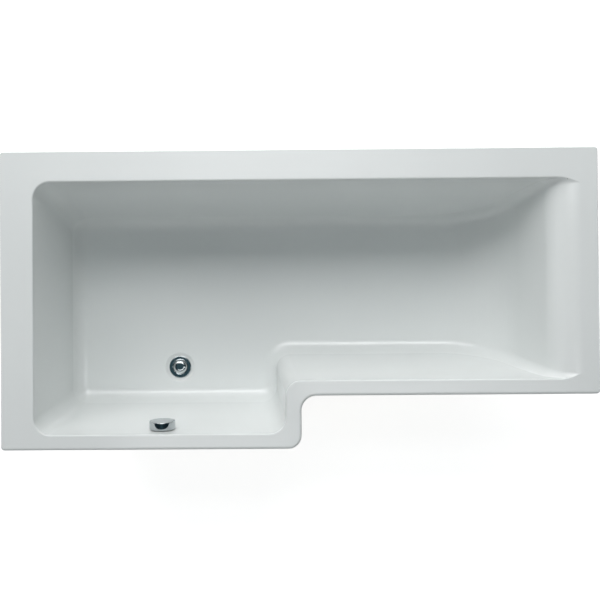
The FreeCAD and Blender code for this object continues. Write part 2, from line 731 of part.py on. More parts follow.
def waste_body():
    """Plastic bowl clamped under the floor: screwed collar, hose inlet, cable port and threaded outlet."""
    shell = turned([
        (BODY_FLANGE_RADIUS, BODY_TOP), (BODY_FLANGE_RADIUS, BODY_TOP - BODY_FLANGE_THICK),
        (BOWL_RADIUS, BODY_TOP - BODY_FLANGE_THICK), (BOWL_RADIUS, BOWL_LOW), (OUTLET_RADIUS, OUTLET_TOP),
        (OUTLET_RADIUS, OUTLET_LOW), (OUTLET_BORE, OUTLET_LOW), (OUTLET_BORE, OUTLET_TOP), (BOWL_BORE, BOWL_LOW),
        (BOWL_BORE, BOWL_TOP), (TAIL_RADIUS + SCREWED_CLEARANCE, BOWL_TOP),
        (TAIL_RADIUS + SCREWED_CLEARANCE, BODY_TOP),
    ], WASTE_X, WASTE_Y)
    hollow = rod(BOWL_BORE, WASTE + UP * BOWL_LOW, UP, BOWL_HEIGHT)
    inlet = rod(SPIGOT_RADIUS, inlet_start(), inlet_way(), INLET_REACH)
    port = rod(CABLE_PORT_RADIUS, cable_port_start(), ALONG, CABLE_PORT_REACH)
    body = shell.fuse(inlet.fuse(port).cut(hollow))
    body = body.cut(rod(SPIGOT_BORE, inlet_start(), inlet_way(), INLET_REACH))
    body = body.cut(rod(CABLE_RADIUS + FIT, cable_port_start(), ALONG, CABLE_PORT_REACH))
    pivot = lever_pivot()
    inside = LEVER_WIDTH / 2 + LUG_GAP
    wall = rod(BOWL_RADIUS - BOWL_WALL / 2, WASTE + UP * BOWL_LOW, UP, BOWL_HEIGHT)
    for side in (-1, 1):
        near = pivot.y + side * inside
        far = pivot.y + side * (inside + LUG_THICK)
        lug = box(pivot.x - LEVER_HUB, WASTE_X + BOWL_RADIUS, min(near, far), max(near, far),
                  pivot.z - LEVER_HUB, pivot.z + LEVER_HUB)
        body = body.fuse(lug.common(wall))
    return body.cut(lever_pin(FIT)).removeSplitter()


def lever_pin(grow):
    half = LEVER_WIDTH / 2 + LUG_GAP + LUG_THICK
    return rod(PIN_RADIUS + grow, lever_pivot() - DEEP * half, DEEP, 2 * half)


def lift_lever():
    """Bell crank, at rest with its long arm down under the stem."""
    pivot = lever_pivot()
    half_wide = LEVER_WIDTH / 2
    half_thick = LEVER_THICK / 2
    hub = rod(LEVER_HUB, pivot - DEEP * half_wide, DEEP, LEVER_WIDTH)
    long_arm = box(WASTE_X - STEM_RADIUS / 2, pivot.x, pivot.y - half_wide, pivot.y + half_wide,
                   pivot.z - half_thick, pivot.z + half_thick)
    cable_arm = box(pivot.x - half_thick, pivot.x + half_thick, pivot.y - half_wide, pivot.y + half_wide,
                    pivot.z, pivot.z + LEVER_CABLE_ARM)
    lever = hub.fuse(long_arm).fuse(cable_arm).cut(lever_pin(FIT)).removeSplitter()
    lever.rotate(pivot, DEEP, -math.degrees(LEVER_SWING))
    return lever


def stem_low():
    """The stem ends just above the corner of the lowered lever that stands highest under it."""
    reach = LEVER_REACH - STEM_RADIUS
    tip = lever_pivot().z - reach * math.tan(LEVER_SWING) + LEVER_THICK / 2 / math.cos(LEVER_SWING)
    return tip + LEVER_GAP


def plug_cap():
    edge = CAP_LOW + CAP_EDGE
    top = edge + CAP_DOME
    slope = math.sqrt(0.5)
    radius = (CAP_RADIUS ** 2 + CAP_DOME ** 2) / (2 * CAP_DOME)
    shoulder = CAP_RADIUS * slope
    rise = math.sqrt(radius ** 2 - shoulder ** 2) - radius
    outline = face([
        line(V(0, 0, CAP_LOW), V(CAP_RADIUS, 0, CAP_LOW)),
        line(V(CAP_RADIUS, 0, CAP_LOW), V(CAP_RADIUS, 0, edge)),
        arc(V(CAP_RADIUS, 0, edge), V(shoulder, 0, top + rise), V(0, 0, top)),
        line(V(0, 0, top), V(0, 0, CAP_LOW)),
    ])
    cap = outline.revolve(V(0, 0, 0), UP, 360)
    cap.translate(WASTE)
    return cap


def plug_stem():
    return rod(STEM_RADIUS, WASTE + UP * stem_low(), UP, CAP_LOW - stem_low())


def plug_seal():
    low = CAP_LOW - PLUG_SEAL
    radius = TAIL_BORE + 1 + (low - SEAT_LOW) * SEAT_SLOPE - PLUG_SEAL_GAP
    return tube(radius, STEM_RADIUS + FIT, WASTE + UP * low, UP, PLUG_SEAL)


# Distances along the knob's axis: into the well is positive
SEAL_BACK = -LINING - OVERFLOW_SEAL
ELBOW_CENTRE = SEAL_BACK - ELBOW_DEPTH / 2
BUSH_BACK = SEAL_BACK - ELBOW_DEPTH + ELBOW_BACK + CRANK_THICK + 2


def elbow_centre():
    return overflow_point() + overflow_axis() * ELBOW_CENTRE


def overflow_bush(inner_well):
    """Ring inside the well with a screwed tail through the wall, and a spider that carries the spindle."""
    ring = on_overflow(BUSH_FLANGE_RADIUS, BUSH_RADIUS - BUSH_WALL, -2, BUSH_FLANGE_THICK).common(inner_well)
    tail = on_overflow(BUSH_RADIUS, BUSH_RADIUS - BUSH_WALL, BUSH_BACK, BUSH_FLANGE_THICK)
    hub = on_overflow(HUB_RADIUS, 0, BUSH_FLANGE_THICK - HUB_HEIGHT, BUSH_FLANGE_THICK)
    start = overflow_point() + overflow_axis() * (BUSH_FLANGE_THICK - HUB_HEIGHT)
    for k in range(SPOKES):
        spoke = Part.makeBox(BUSH_RADIUS - BUSH_WALL / 2, SPOKE_WIDTH, HUB_HEIGHT, V(0, -SPOKE_WIDTH / 2, 0))
        spoke.rotate(V(0, 0, 0), UP, 90 + 360 * k / SPOKES)
        spoke.Placement = FreeCAD.Placement(start, FreeCAD.Rotation(UP, overflow_axis())).multiply(spoke.Placement)
        hub = hub.fuse(spoke)
    bore = on_overflow(SPINDLE_RADIUS + FIT, 0, -OVERRUN, OVERRUN)
    return ring.fuse(tail).fuse(hub).cut(bore).removeSplitter()


def overflow_seal(grp_well):
    return on_overflow(ELBOW_FLANGE_RADIUS - 1, OVERFLOW_HOLE_RADIUS, SEAL_BACK, 0).cut(grp_well)


def overflow_elbow():
    """Plastic cup behind the wall, with a spigot down to the hose and a boss for the cable."""
    back = SEAL_BACK - ELBOW_DEPTH
    centre = elbow_centre()
    cup = on_overflow(ELBOW_RADIUS, 0, back, SEAL_BACK)
    cup = cup.fuse(on_overflow(ELBOW_FLANGE_RADIUS, 0, SEAL_BACK - ELBOW_FLANGE_THICK, SEAL_BACK))
    cup = cup.fuse(rod(SPIGOT_RADIUS, centre, UP * -1, ELBOW_SPIGOT_DROP))
    cup = cup.fuse(rod(CABLE_BOSS_RADIUS, centre, ALONG, CABLE_BOSS_REACH))
    cup = cup.cut(on_overflow(BUSH_RADIUS + SCREWED_CLEARANCE, 0, back + ELBOW_BACK, SEAL_BACK))
    cup = cup.cut(rod(SPIGOT_BORE, centre, UP * -1, ELBOW_SPIGOT_DROP))
    return cup.cut(rod(CABLE_RADIUS + FIT, centre, ALONG, CABLE_BOSS_REACH)).removeSplitter()


def overflow_knob():
    """Round chrome cap, open at the back so that water runs in behind it."""
    front = KNOB_GAP + KNOB_DEPTH
    cap = on_overflow(KNOB_RADIUS, 0, KNOB_GAP, front)
    rim = edge_at(cap, overflow_point() + overflow_axis() * front + ALONG * KNOB_RADIUS)
    cap = cap.makeFillet(KNOB_EDGE_ROUND, [rim])
    cap = cap.cut(on_overflow(KNOB_RADIUS - KNOB_WALL, 0, KNOB_GAP, front - KNOB_WALL))
    cap = cap.fuse(on_overflow(KNOB_BOSS_RADIUS, 0, KNOB_GAP + 2, front - KNOB_WALL))
    return cap.cut(on_overflow(SPINDLE_RADIUS + FIT, 0, 0, front - KNOB_WALL)).removeSplitter()


def overflow_spindle():
    back = SEAL_BACK - ELBOW_DEPTH + ELBOW_BACK + 1
    return on_overflow(SPINDLE_RADIUS, 0, back, KNOB_GAP + KNOB_DEPTH - KNOB_WALL)


def overflow_crank():
    """Disc on the back of the spindle, with a pin that pulls the cable."""
    back = SEAL_BACK - ELBOW_DEPTH + ELBOW_BACK + 1
    disc = on_overflow(CRANK_RADIUS, SPINDLE_RADIUS + FIT, back, back + CRANK_THICK)
    pin = rod(CRANK_PIN_RADIUS, overflow_point() + overflow_axis() * back + ALONG * CRANK_PIN_THROW,
              overflow_axis(), 2 * CRANK_THICK)
    return disc.fuse(pin).removeSplitter()


def hose_ends():
    """Ends of the hose: under the elbow's spigot, and at the mouth of the waste's inlet."""
    return elbow_centre() - UP * ELBOW_SPIGOT_DROP, inlet_start() + inlet_way() * INLET_REACH


def hose_runs():
    """Lengths of the upright run, the bend and the level run of the hose."""
    start, end = hose_ends()
    reach = math.hypot(start.x - end.x, start.y - end.y)
    return start.z - end.z - HOSE_BEND, HOSE_BEND * math.pi / 2, reach - HOSE_BEND


def hose_place(distance):
    """Point and direction of the hose at a distance along it."""
    start, end = hose_ends()
    inward = inlet_way() * -1
    upright, bend, level = hose_runs()
    if distance <= upright:
        return start - UP * distance, UP * -1
    if distance <= upright + bend:
        angle = (distance - upright) / HOSE_BEND
        centre = start - UP * upright + inward * HOSE_BEND
        return (centre - inward * (HOSE_BEND * math.cos(angle)) - UP * (HOSE_BEND * math.sin(angle)),
                inward * math.sin(angle) - UP * math.cos(angle))
    past = distance - upright - bend
    return end - inward * (level - past), inward


def hose_circle(distance, radius):
    """A circle across the hose, with its seam kept on the same side all along."""
    place, way = hose_place(distance)
    side = inlet_way().cross(UP)
    rotation = FreeCAD.Rotation(side, way.cross(side), way, "ZXY")
    circle = Part.makeCircle(radius)
    circle.Placement = FreeCAD.Placement(place, rotation)
    return Part.Wire([circle])


def overflow_hose():
    """Ribbed hose: four circles to each rib, joined straight, and a smooth bore."""
    length = sum(hose_runs())
    ribs = round(length / RIB_PITCH)
    pitch = length / ribs
    circles = []
    for k in range(ribs):
        for part, radius in ((0.0, HOSE_ROOT), (0.3, HOSE_ROOT), (0.45, HOSE_CREST), (0.85, HOSE_CREST)):
            circles.append(hose_circle((k + part) * pitch, radius))
    circles.append(hose_circle(length, HOSE_ROOT))
    ribbed = Part.makeLoft(circles, True, True)
    upright, bend, level = hose_runs()
    middle = [hose_place(d)[0] for d in (0, upright, upright + bend / 2, upright + bend, length)]
    path = Part.Wire([line(middle[0], middle[1]), arc(middle[1], middle[2], middle[3]), line(middle[3], middle[4])])
    bore = path.makePipeShell([hose_circle(0, HOSE_BORE)], True, True)
    return ribbed.cut(bore)


def hose_nut(spigot_end, way):
    """Nut over the end of a spigot and the first ribs of the hose."""
    start = spigot_end - way * HOSE_NUT_ON_SPIGOT
    nut = rod(HOSE_NUT_RADIUS, start, way, HOSE_NUT_ON_SPIGOT + HOSE_NUT_ON_HOSE)
    nut = nut.cut(rod(SPIGOT_RADIUS + NUT_CLEARANCE, start, way, HOSE_NUT_ON_SPIGOT))
    return nut.cut(rod(HOSE_CREST + NUT_CLEARANCE, spigot_end, way, HOSE_NUT_ON_HOSE))


def hose_nuts():
    start, end = hose_ends()
    return Part.makeCompound([hose_nut(start, UP * -1), hose_nut(end, inlet_way())])


def cable_corners():
    """Corners of the cable's route before they are rounded, with the bend at each."""
    boss_end = elbow_centre() + ALONG * CABLE_BOSS_REACH
    port_end = cable_port_start() + ALONG * CABLE_PORT_REACH
    side_x = port_end.x + CABLE_STRAIGHT + CABLE_BEND_END
    return [
        (boss_end - ALONG * CABLE_INSERT, 0),
        (V(side_x, boss_end.y, boss_end.z), CABLE_BEND_TOP),
        (V(side_x, boss_end.y, port_end.z), CABLE_BEND_UNDER),
        (V(side_x, port_end.y, port_end.z), CABLE_BEND_END),
        (port_end - ALONG * CABLE_INSERT, 0),
    ]


def release_cable():
    """Sheathed cable from the elbow to the waste, along straight runs joined by bends."""
    corners = cable_corners()
    edges = []
    place = corners[0][0]
    for i in range(1, len(corners) - 1):
        corner, bend = corners[i]
        back = (corners[i - 1][0] - corner).normalize()
        ahead = (corners[i + 1][0] - corner).normalize()
        centre = corner + (back + ahead) * bend
        middle = centre - (back + ahead).normalize() * bend
        edges.append(line(place, corner + back * bend))
        edges.append(arc(corner + back * bend, middle, corner + ahead * bend))
        place = corner + ahead * bend
    edges.append(line(place, corners[-1][0]))
    path = Part.Wire(edges)
    section = Part.Wire([Part.makeCircle(CABLE_RADIUS, corners[0][0], ALONG)])
    return path.makePipeShell([section], True, True)


def cable_ferrules():
    boss_end = elbow_centre() + ALONG * CABLE_BOSS_REACH
    port_end = cable_port_start() + ALONG * CABLE_PORT_REACH
    sleeves = [tube(FERRULE_RADIUS, CABLE_RADIUS + FIT, end, ALONG, FERRULE_LENGTH) for end in (boss_end, port_end)]
    return Part.makeCompound(sleeves)


os.makedirs("parts", exist_ok=True)

inner = well(0)
outer = well(ACRYLIC)
lined = well(LINING)
save("acrylic_shell", acrylic_shell(inner, outer))
save("grp_reinforcement", grp_reinforcement(outer, lined))
save("baseboard", baseboard())
for batten_name, batten in battens().items():
    save(batten_name, batten)
for bar_name, bar_x, bar_front in leg_bars():
    save("leg_bar_" + bar_name, leg_bar(bar_name, bar_x, bar_front))
save("leg_screws", leg_screws())
save("upper_lock_nuts", lock_nuts(BAR_TOP))
save("lower_lock_nuts", lock_nuts(BAR_TOP - BAR_WALL - NUT_HEIGHT))
for foot_name, foot_spot in foot_spots():
    save("adjuster_rod_" + foot_name, adjuster_rod(foot_spot))
    save("foot_pad_" + foot_name, foot_pad(foot_spot))
save("waste_flange", waste_flange())
save("waste_top_seal", waste_top_seal())
save("waste_under_seal", waste_under_seal())
save("waste_body", waste_body())
save("lever_pin", lever_pin(0))
save("lift_lever", lift_lever())
save("plug_cap", plug_cap())
save("plug_stem", plug_stem())
save("plug_seal", plug_seal())
save("overflow_bush", overflow_bush(inner))
save("overflow_seal", overflow_seal(lined))
save("overflow_elbow", overflow_elbow())
save("overflow_knob", overflow_knob())
save("overflow_spindle", overflow_spindle())
save("overflow_crank", overflow_crank())
save("overflow_hose", overflow_hose())
save("hose_nuts", hose_nuts())
save("release_cable", release_cable())
save("cable_ferrules", cable_ferrules())
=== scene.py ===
# %% [markdown]
# # An L-shaped acrylic shower bath
# The CAD model is loaded first and stays as it is: every piece made below takes its place from it.
# Lengths are metres. The tap end is at -X, the wall side at +Y and the room side at -Y. The rim is 0.55
# above the floor.

# %% Load the frame
import json
import math

import bmesh
import bpy
from mathutils import Matrix, Vector

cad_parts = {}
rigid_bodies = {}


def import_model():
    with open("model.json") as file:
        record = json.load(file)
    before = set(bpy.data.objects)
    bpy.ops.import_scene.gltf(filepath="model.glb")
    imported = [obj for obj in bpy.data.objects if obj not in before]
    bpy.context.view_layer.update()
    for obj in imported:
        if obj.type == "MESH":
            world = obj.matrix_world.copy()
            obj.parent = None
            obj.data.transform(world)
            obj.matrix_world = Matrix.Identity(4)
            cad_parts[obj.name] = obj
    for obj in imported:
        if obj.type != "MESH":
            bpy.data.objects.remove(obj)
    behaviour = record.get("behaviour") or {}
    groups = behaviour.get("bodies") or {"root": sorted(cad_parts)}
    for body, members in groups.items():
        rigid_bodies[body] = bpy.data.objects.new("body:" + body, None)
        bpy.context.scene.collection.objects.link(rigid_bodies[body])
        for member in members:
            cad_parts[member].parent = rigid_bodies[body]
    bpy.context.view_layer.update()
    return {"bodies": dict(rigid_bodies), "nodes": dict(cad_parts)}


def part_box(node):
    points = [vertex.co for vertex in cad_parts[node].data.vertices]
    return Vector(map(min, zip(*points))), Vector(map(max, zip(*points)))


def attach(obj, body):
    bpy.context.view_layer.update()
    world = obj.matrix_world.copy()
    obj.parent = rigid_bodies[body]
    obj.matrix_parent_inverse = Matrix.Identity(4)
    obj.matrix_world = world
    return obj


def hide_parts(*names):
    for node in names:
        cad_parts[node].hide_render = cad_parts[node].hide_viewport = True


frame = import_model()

nodes = frame["nodes"]

# %% [markdown]
# ## The camera
# The photograph looks almost straight down on the bath from about three metres above its rim. A camera
# could be turned by angles, but near the vertical those are hard to picture. Here its three axes are
# worked out instead: one along the view, one to the right of the picture, one up it. The picture is
# turned by about half a degree, so its upward axis leans a little.

# %% Camera at the photograph's angle
EYE = Vector((0.036, -0.040, 3.750))
AIM = Vector((0.0030, -0.0030, 0.545))
PICTURE_TURN = math.radians(0.45)
PICTURE_PIXELS = 600
FOCAL_PIXELS = 1129
SENSOR_WIDTH = 36

view_axis = (AIM - EYE).normalized()
lean = Vector((math.sin(PICTURE_TURN), math.cos(PICTURE_TURN), 0))
right_axis = view_axis.cross(lean).normalized()
up_axis = right_axis.cross(view_axis)

bpy.ops.object.select_all(action="DESELECT")
bpy.ops.object.camera_add()
camera = bpy.context.object
camera.name = "photo_camera"
axes = Matrix((right_axis, up_axis, -view_axis)).transposed()
camera.matrix_world = Matrix.Translation(EYE) @ axes.to_4x4()
camera.data.sensor_width = SENSOR_WIDTH
camera.data.lens = SENSOR_WIDTH * FOCAL_PIXELS / PICTURE_PIXELS
bpy.context.scene.camera = camera
print("camera lens", round(camera.data.lens, 1), "mm, looking along", tuple(round(v, 3) for v in view_axis))

# %% [markdown]
# ## Measures of the moulding
# An acrylic bath starts as one flat sheet, heated and sucked down into a mould, so its whole shape is one
# skin. These are the sizes that shape it, the same as in the CAD model: the L of the rim, the slopes of
# the walls that let it leave the mould, and the rounds that the stretched sheet needs at every edge.

# %% Sizes of the bath
LENGTH = 1.700
WIDTH = 0.850
WIDE_LENGTH = 0.855
STEP_DEPTH = 0.150
RIM = 0.550
FLOOR = 0.150
LIP = 0.045
SHEET = 0.005
FIBRE = 0.004
TAP_RIM_WIDTH = 0.094
HEAD_RIM_WIDTH = 0.045
BACK_RIM_WIDTH = 0.087
FRONT_RIM_WIDTH = 0.044

TAP_X = -LENGTH / 2
HEAD_X = LENGTH / 2
STEP_X = TAP_X + WIDE_LENGTH
BACK_Y = WIDTH / 2
WIDE_Y = -WIDTH / 2
NARROW_Y = WIDE_Y + STEP_DEPTH

WELL_TAP_X = TAP_X + TAP_RIM_WIDTH
WELL_STEP_X = STEP_X - FRONT_RIM_WIDTH
WELL_HEAD_X = HEAD_X - HEAD_RIM_WIDTH
WELL_BACK_Y = BACK_Y - BACK_RIM_WIDTH
WELL_WIDE_Y = WIDE_Y + FRONT_RIM_WIDTH
WELL_NARROW_Y = NARROW_Y + FRONT_RIM_WIDTH
print("well at the rim", round(WELL_HEAD_X - WELL_TAP_X, 3), "by", round(WELL_BACK_Y - WELL_WIDE_Y, 3), "m")

# %% [markdown]
# ## Slopes of the walls
# The walls at the tap end and at the step are flat and lean out by 5.8 degrees. The long walls are bowed:
# steep at the rim and more slanted at the foot, so each is part of a very large arc. The functions give
# where a wall is at a height z. The value grow moves the wall outwards, for the back of the sheet and of
# the glass fibre.

# %% Wall positions by height
END_DRAFT = math.radians(5.8)
TOP_DRAFT = math.radians(5.0)
FRONT_DRAFT = math.radians(15.0)
BACK_DRAFT = math.radians(18.5)


def tap_x(z, grow):
    return WELL_TAP_X - grow / math.cos(END_DRAFT) + (RIM - z) * math.tan(END_DRAFT)


def step_x(z, grow):
    return WELL_STEP_X + grow / math.cos(END_DRAFT) - (RIM - z) * math.tan(END_DRAFT)


def bowed_y(z, rim_y, side, foot, grow):
    radius = (RIM - FLOOR) / (math.sin(foot) - math.sin(TOP_DRAFT))
    centre_y = rim_y - side * radius * math.cos(TOP_DRAFT)
    centre_z = RIM + radius * math.sin(TOP_DRAFT)
    return centre_y + side * math.sqrt((radius + grow) ** 2 - (centre_z - z) ** 2)


def back_y(z, grow):
    return bowed_y(z, WELL_BACK_Y, 1, BACK_DRAFT, grow)


def wide_y(z, grow):
    return bowed_y(z, WELL_WIDE_Y, -1, FRONT_DRAFT, grow)


def narrow_y(z, grow):
    return bowed_y(z, WELL_NARROW_Y, -1, FRONT_DRAFT, grow)


print("back wall leans in by", round(WELL_BACK_Y - back_y(FLOOR, 0), 3), "m from rim to floor")

# %% [markdown]
# ## Drawing an outline and pulling it out
# Most moulded shapes begin as a drawn outline that is pulled out into a block. By hand, a plane is added,
# merged to one point, and that point is extruded from corner to corner. The loop is filled and extruded
# again. The same short list of moves serves every outline here, so it is one function.

# %% Outline helpers
FIRST_PLANE = 0.01


def drawn_line(name, points):
    bpy.ops.object.select_all(action="DESELECT")
    bpy.ops.mesh.primitive_plane_add(size=FIRST_PLANE, location=points[0])
    piece = bpy.context.object
    piece.name = name
    piece.data.name = name
    bpy.ops.object.transform_apply()
    bpy.ops.object.mode_set(mode="EDIT")
    bpy.ops.mesh.select_mode(type="VERT")
    bpy.ops.mesh.select_all(action="SELECT")
    bpy.ops.mesh.merge(type="CENTER")
    for start, end in zip(points, points[1:]):
        step = Vector(end) - Vector(start)
        bpy.ops.mesh.extrude_region_move(TRANSFORM_OT_translate={"value": step})
    bpy.ops.mesh.select_all(action="SELECT")
    return piece


def drawn_out(name, outline, way):
    piece = drawn_line(name, outline)
    bpy.ops.mesh.edge_face_add()
    bpy.ops.mesh.extrude_region_move(TRANSFORM_OT_translate={"value": way})
    bpy.ops.mesh.select_all(action="SELECT")
    bpy.ops.mesh.normals_make_consistent(inside=False)
    bpy.ops.object.mode_set(mode="OBJECT")
    return piece


def measured(piece):
    mesh = bmesh.new()
    mesh.from_mesh(piece.data)
    open_edges = sum(1 for edge in mesh.edges if not edge.is_manifold)
    litres = round(mesh.calc_volume() * 1000, 3)
    mesh.free()
    print(piece.name, len(piece.data.polygons), "faces,", litres, "litres,", open_edges, "open edges")


# %% [markdown]
# ## Editing by place
# An operator works on what is selected. With the mouse one would click edges; in code they are picked by
# a test on their place or on the angle between their faces. A cut is the bisect tool, which drops one
# side and fills the cut, and a boolean modifier joins or takes away a whole shape. A mesh that was spun or
# swept has doubled points where it meets itself, so they are merged before its faces are turned outwards.

# %% Edit helpers
def only(piece):
    bpy.ops.object.select_all(action="DESELECT")
    bpy.context.view_layer.objects.active = piece
    piece.select_set(True)


def apply(piece, modifier):
    only(piece)
    bpy.ops.object.modifier_apply(modifier=modifier.name)


def boolean(piece, tool, how):
    modifier = piece.modifiers.new("Join", "BOOLEAN")
    modifier.operation = how
    modifier.solver = "EXACT"
    modifier.object = tool
    apply(piece, modifier)
    bpy.data.objects.remove(tool)


def start_edit(piece):
    only(piece)
    bpy.ops.object.mode_set(mode="EDIT")
    bpy.ops.mesh.select_mode(type="EDGE")
    bpy.ops.mesh.select_all(action="DESELECT")


def bevel_edges(piece, test, radius, segments):
    start_edit(piece)
    mesh = bmesh.from_edit_mesh(piece.data)
    for edge in mesh.edges:
        if test(edge):
            edge.select_set(True)
    bmesh.update_edit_mesh(piece.data)
    bpy.ops.mesh.bevel(offset=radius, segments=segments, affect="EDGES", clamp_overlap=False)
    bpy.ops.object.mode_set(mode="OBJECT")


def cut_off(piece, point, normal):
    start_edit(piece)
    bpy.ops.mesh.select_all(action="SELECT")
    bpy.ops.mesh.bisect(plane_co=point, plane_no=normal, use_fill=True, clear_outer=True)
    bpy.ops.object.mode_set(mode="OBJECT")


def merge_doubles(distance):
    bpy.ops.mesh.select_all(action="SELECT")
    bpy.ops.mesh.remove_doubles(threshold=distance)
    bpy.ops.mesh.normals_make_consistent(inside=False)
    bpy.ops.object.mode_set(mode="OBJECT")


# %% [markdown]
# ## The line of the floor and backrest
# Seen from the room, the well runs down the tap-end wall, along the floor, then sweeps up into a long
# backrest and rolls over onto the rim at the head end. Wall, floor and backrest are straight, and two
# arcs join the backrest smoothly to the floor and to the rim. The line is drawn as an outline, and pulled
# across the bath it gives the room that the water takes lengthwise. Two faces in one plane confuse a
# boolean, so the roll ends a hair above the rim, and from there the outline still climbs a little to its
# end beyond the bath.

# %% Lengthwise outline
BACKREST = math.radians(18.0)
ROLL = 0.100
SWEEP = 0.250
ROLL_STEPS = 16
SWEEP_STEPS = 24
ROLL_LIFT = 0.00002
END_CLIMB = 0.006
BEYOND = 0.1
ABOVE_RIM = 0.06
FAR_X = HEAD_X + BEYOND
HIGH = RIM + ABOVE_RIM


def arc_points(centre_x, centre_z, radius, start, end, steps):
    angles = [start + (end - start) * k / steps for k in range(steps + 1)]
    return [(centre_x + radius * math.cos(a), centre_z - radius * math.sin(a)) for a in angles]


def lengthwise(grow):
    both = SWEEP + ROLL
    sweep_x = WELL_HEAD_X - (both + (RIM - FLOOR - both) * math.sin(BACKREST)) / math.cos(BACKREST)
    low = FLOOR - grow
    roll_z = RIM - ROLL + ROLL_LIFT
    points = [(tap_x(HIGH, grow), HIGH), (tap_x(low, grow), low)]
    points += arc_points(sweep_x, FLOOR + SWEEP, SWEEP + grow, math.pi / 2, BACKREST, SWEEP_STEPS)
    points += arc_points(WELL_HEAD_X, roll_z, ROLL - grow, math.pi + BACKREST, 1.5 * math.pi, ROLL_STEPS)
    points += [(FAR_X, RIM - grow + END_CLIMB), (FAR_X, HIGH)]
    return [(x, BACK_Y + BEYOND, z) for x, z in points]


print("lengthwise outline has", len(lengthwise(0)), "points")

# %% [markdown]
# ## The L across the bath
# Across the bath the well is two channels: a long narrow one, and a wide pocket at the tap end for
# standing in. They are first made with straight walls from floor to rim, because flat faces bevel
# cleanly. Their bow is given back later. The pocket reaches a little further down, up and out than the
# channel, so that the ends of the two don't lie in one plane.

# %% Channel and pocket
CHANNEL_UNDER = 0.06
CHANNEL_OVER = 0.01
POCKET_UNDER = 0.07
POCKET_OVER = 0.02
POCKET_BEYOND = 0.12
SPARE_LENGTH = 0.3


def straight_y(z, wall_y, grow):
    low = FLOOR - grow
    share = (z - low) / (RIM - low)
    return wall_y(low, grow) + share * (wall_y(RIM, grow) - wall_y(low, grow))


def channel(grow):
    low = FLOOR - CHANNEL_UNDER
    high = HIGH + CHANNEL_OVER
    front = [(straight_y(z, narrow_y, grow), z) for z in (low, high)]
    back = [(straight_y(z, back_y, grow), z) for z in (high, low)]
    outline = [(TAP_X - BEYOND, y, z) for y, z in front + back]
    return drawn_out("channel", outline, (LENGTH + SPARE_LENGTH, 0, 0))


def pocket(grow):
    low = FLOOR - POCKET_UNDER
    high = HIGH + POCKET_OVER
    front = [(straight_y(z, wide_y, grow), z) for z in (low, high)]
    middle = [(0, high), (0, low)]
    outline = [(TAP_X - POCKET_BEYOND, y, z) for y, z in front + middle]
    block = drawn_out("pocket", outline, (WIDE_LENGTH + SPARE_LENGTH, 0, 0))
    cut_off(block, (step_x(RIM, grow), 0, RIM), (math.cos(END_DRAFT), 0, -math.sin(END_DRAFT)))
    return block


# %% [markdown]
# ## Rounding the well
# A hot sheet can't follow a sharp corner, so every corner of the well is round: about 48 mm where two
# walls meet, and 44 mm along the foot of the walls, less towards the head end. A bevel of one width can't
# change along its way, so each edge gets a bevel weight, worked out from its radius and from how far its
# two faces turn.

# %% Round corners and the foot of the walls
CORNER = 0.048
STEP_CORNER = 0.042
FLOOR_ROUND = 0.044
HEAD_ROUND = 0.020
CORNER_STEPS = 12
ON_CORNER = 3e-4
WIDEST_ROUND = 0.090


def round_corner(piece, x_of, y_of, grow, radius):
    def on_corner(edge):
        return all(abs(v.co.x - x_of(v.co.z, grow)) < ON_CORNER
                   and abs(v.co.y - straight_y(v.co.z, y_of, grow)) < ON_CORNER for v in edge.verts)
    bevel_edges(piece, on_corner, radius, CORNER_STEPS)


def foot_radius(z, grow):
    share = min(1, max(0, (z - FLOOR) / (RIM - FLOOR)))
    return FLOOR_ROUND + share * (HEAD_ROUND - FLOOR_ROUND) + grow


def bevel_by_weight(piece, radius_at, test, segments):
    start_edit(piece)
    mesh = bmesh.from_edit_mesh(piece.data)
    layer = mesh.edges.layers.float.get("bevel_weight_edge")
    if layer is None:
        layer = mesh.edges.layers.float.new("bevel_weight_edge")
    for edge in mesh.edges:
        turn = edge.calc_face_angle(0)
        middle = (edge.verts[0].co + edge.verts[1].co) / 2
        wanted = test(edge, turn, middle)
        edge[layer] = radius_at(middle) * math.tan(turn / 2) / WIDEST_ROUND if wanted else 0
    bmesh.update_edit_mesh(piece.data)
    bpy.ops.object.mode_set(mode="OBJECT")
    bevel = piece.modifiers.new("Round", "BEVEL")
    bevel.limit_method = "WEIGHT"
    bevel.width = WIDEST_ROUND
    bevel.segments = segments
    bevel.use_clamp_overlap = False
    apply(piece, bevel)


# %% [markdown]
# ## Giving the walls their bow
# Now the long walls are cut into level strips with bisect, and every point is moved across by the
# difference between the bowed wall and the straight one at its height. The rounds at the corners move
# along with them. The two walls on the room side have the same bow, so one of them serves for both.

# %% Bow the long walls
STRIPS = 14
STRIP_HEIGHT = 0.0275
LOWEST_CUT = FLOOR + 0.040
BETWEEN_WALLS = 0.05


def bow_walls(piece, grow):
    start_edit(piece)
    for strip in range(STRIPS):
        bpy.ops.mesh.select_all(action="SELECT")
        bpy.ops.mesh.bisect(plane_co=(0, 0, LOWEST_CUT + STRIP_HEIGHT * strip), plane_no=(0, 0, 1))
    mesh = bmesh.from_edit_mesh(piece.data)
    for vertex in mesh.verts:
        wall_y = back_y if vertex.co.y > BETWEEN_WALLS else narrow_y
        vertex.co.y += wall_y(vertex.co.z, grow) - straight_y(vertex.co.z, wall_y, grow)
    bmesh.update_edit_mesh(piece.data)
    bpy.ops.object.mode_set(mode="OBJECT")


# %% [markdown]
# ## The whole well, and the dish at the waste
# The well is the lengthwise block, kept only where it lies in the channel or in the pocket. Around the
# waste the floor has a shallow dish, so that the last water finds the hole. The dish is a flat cone
# joined to the well, with its edge rounded.

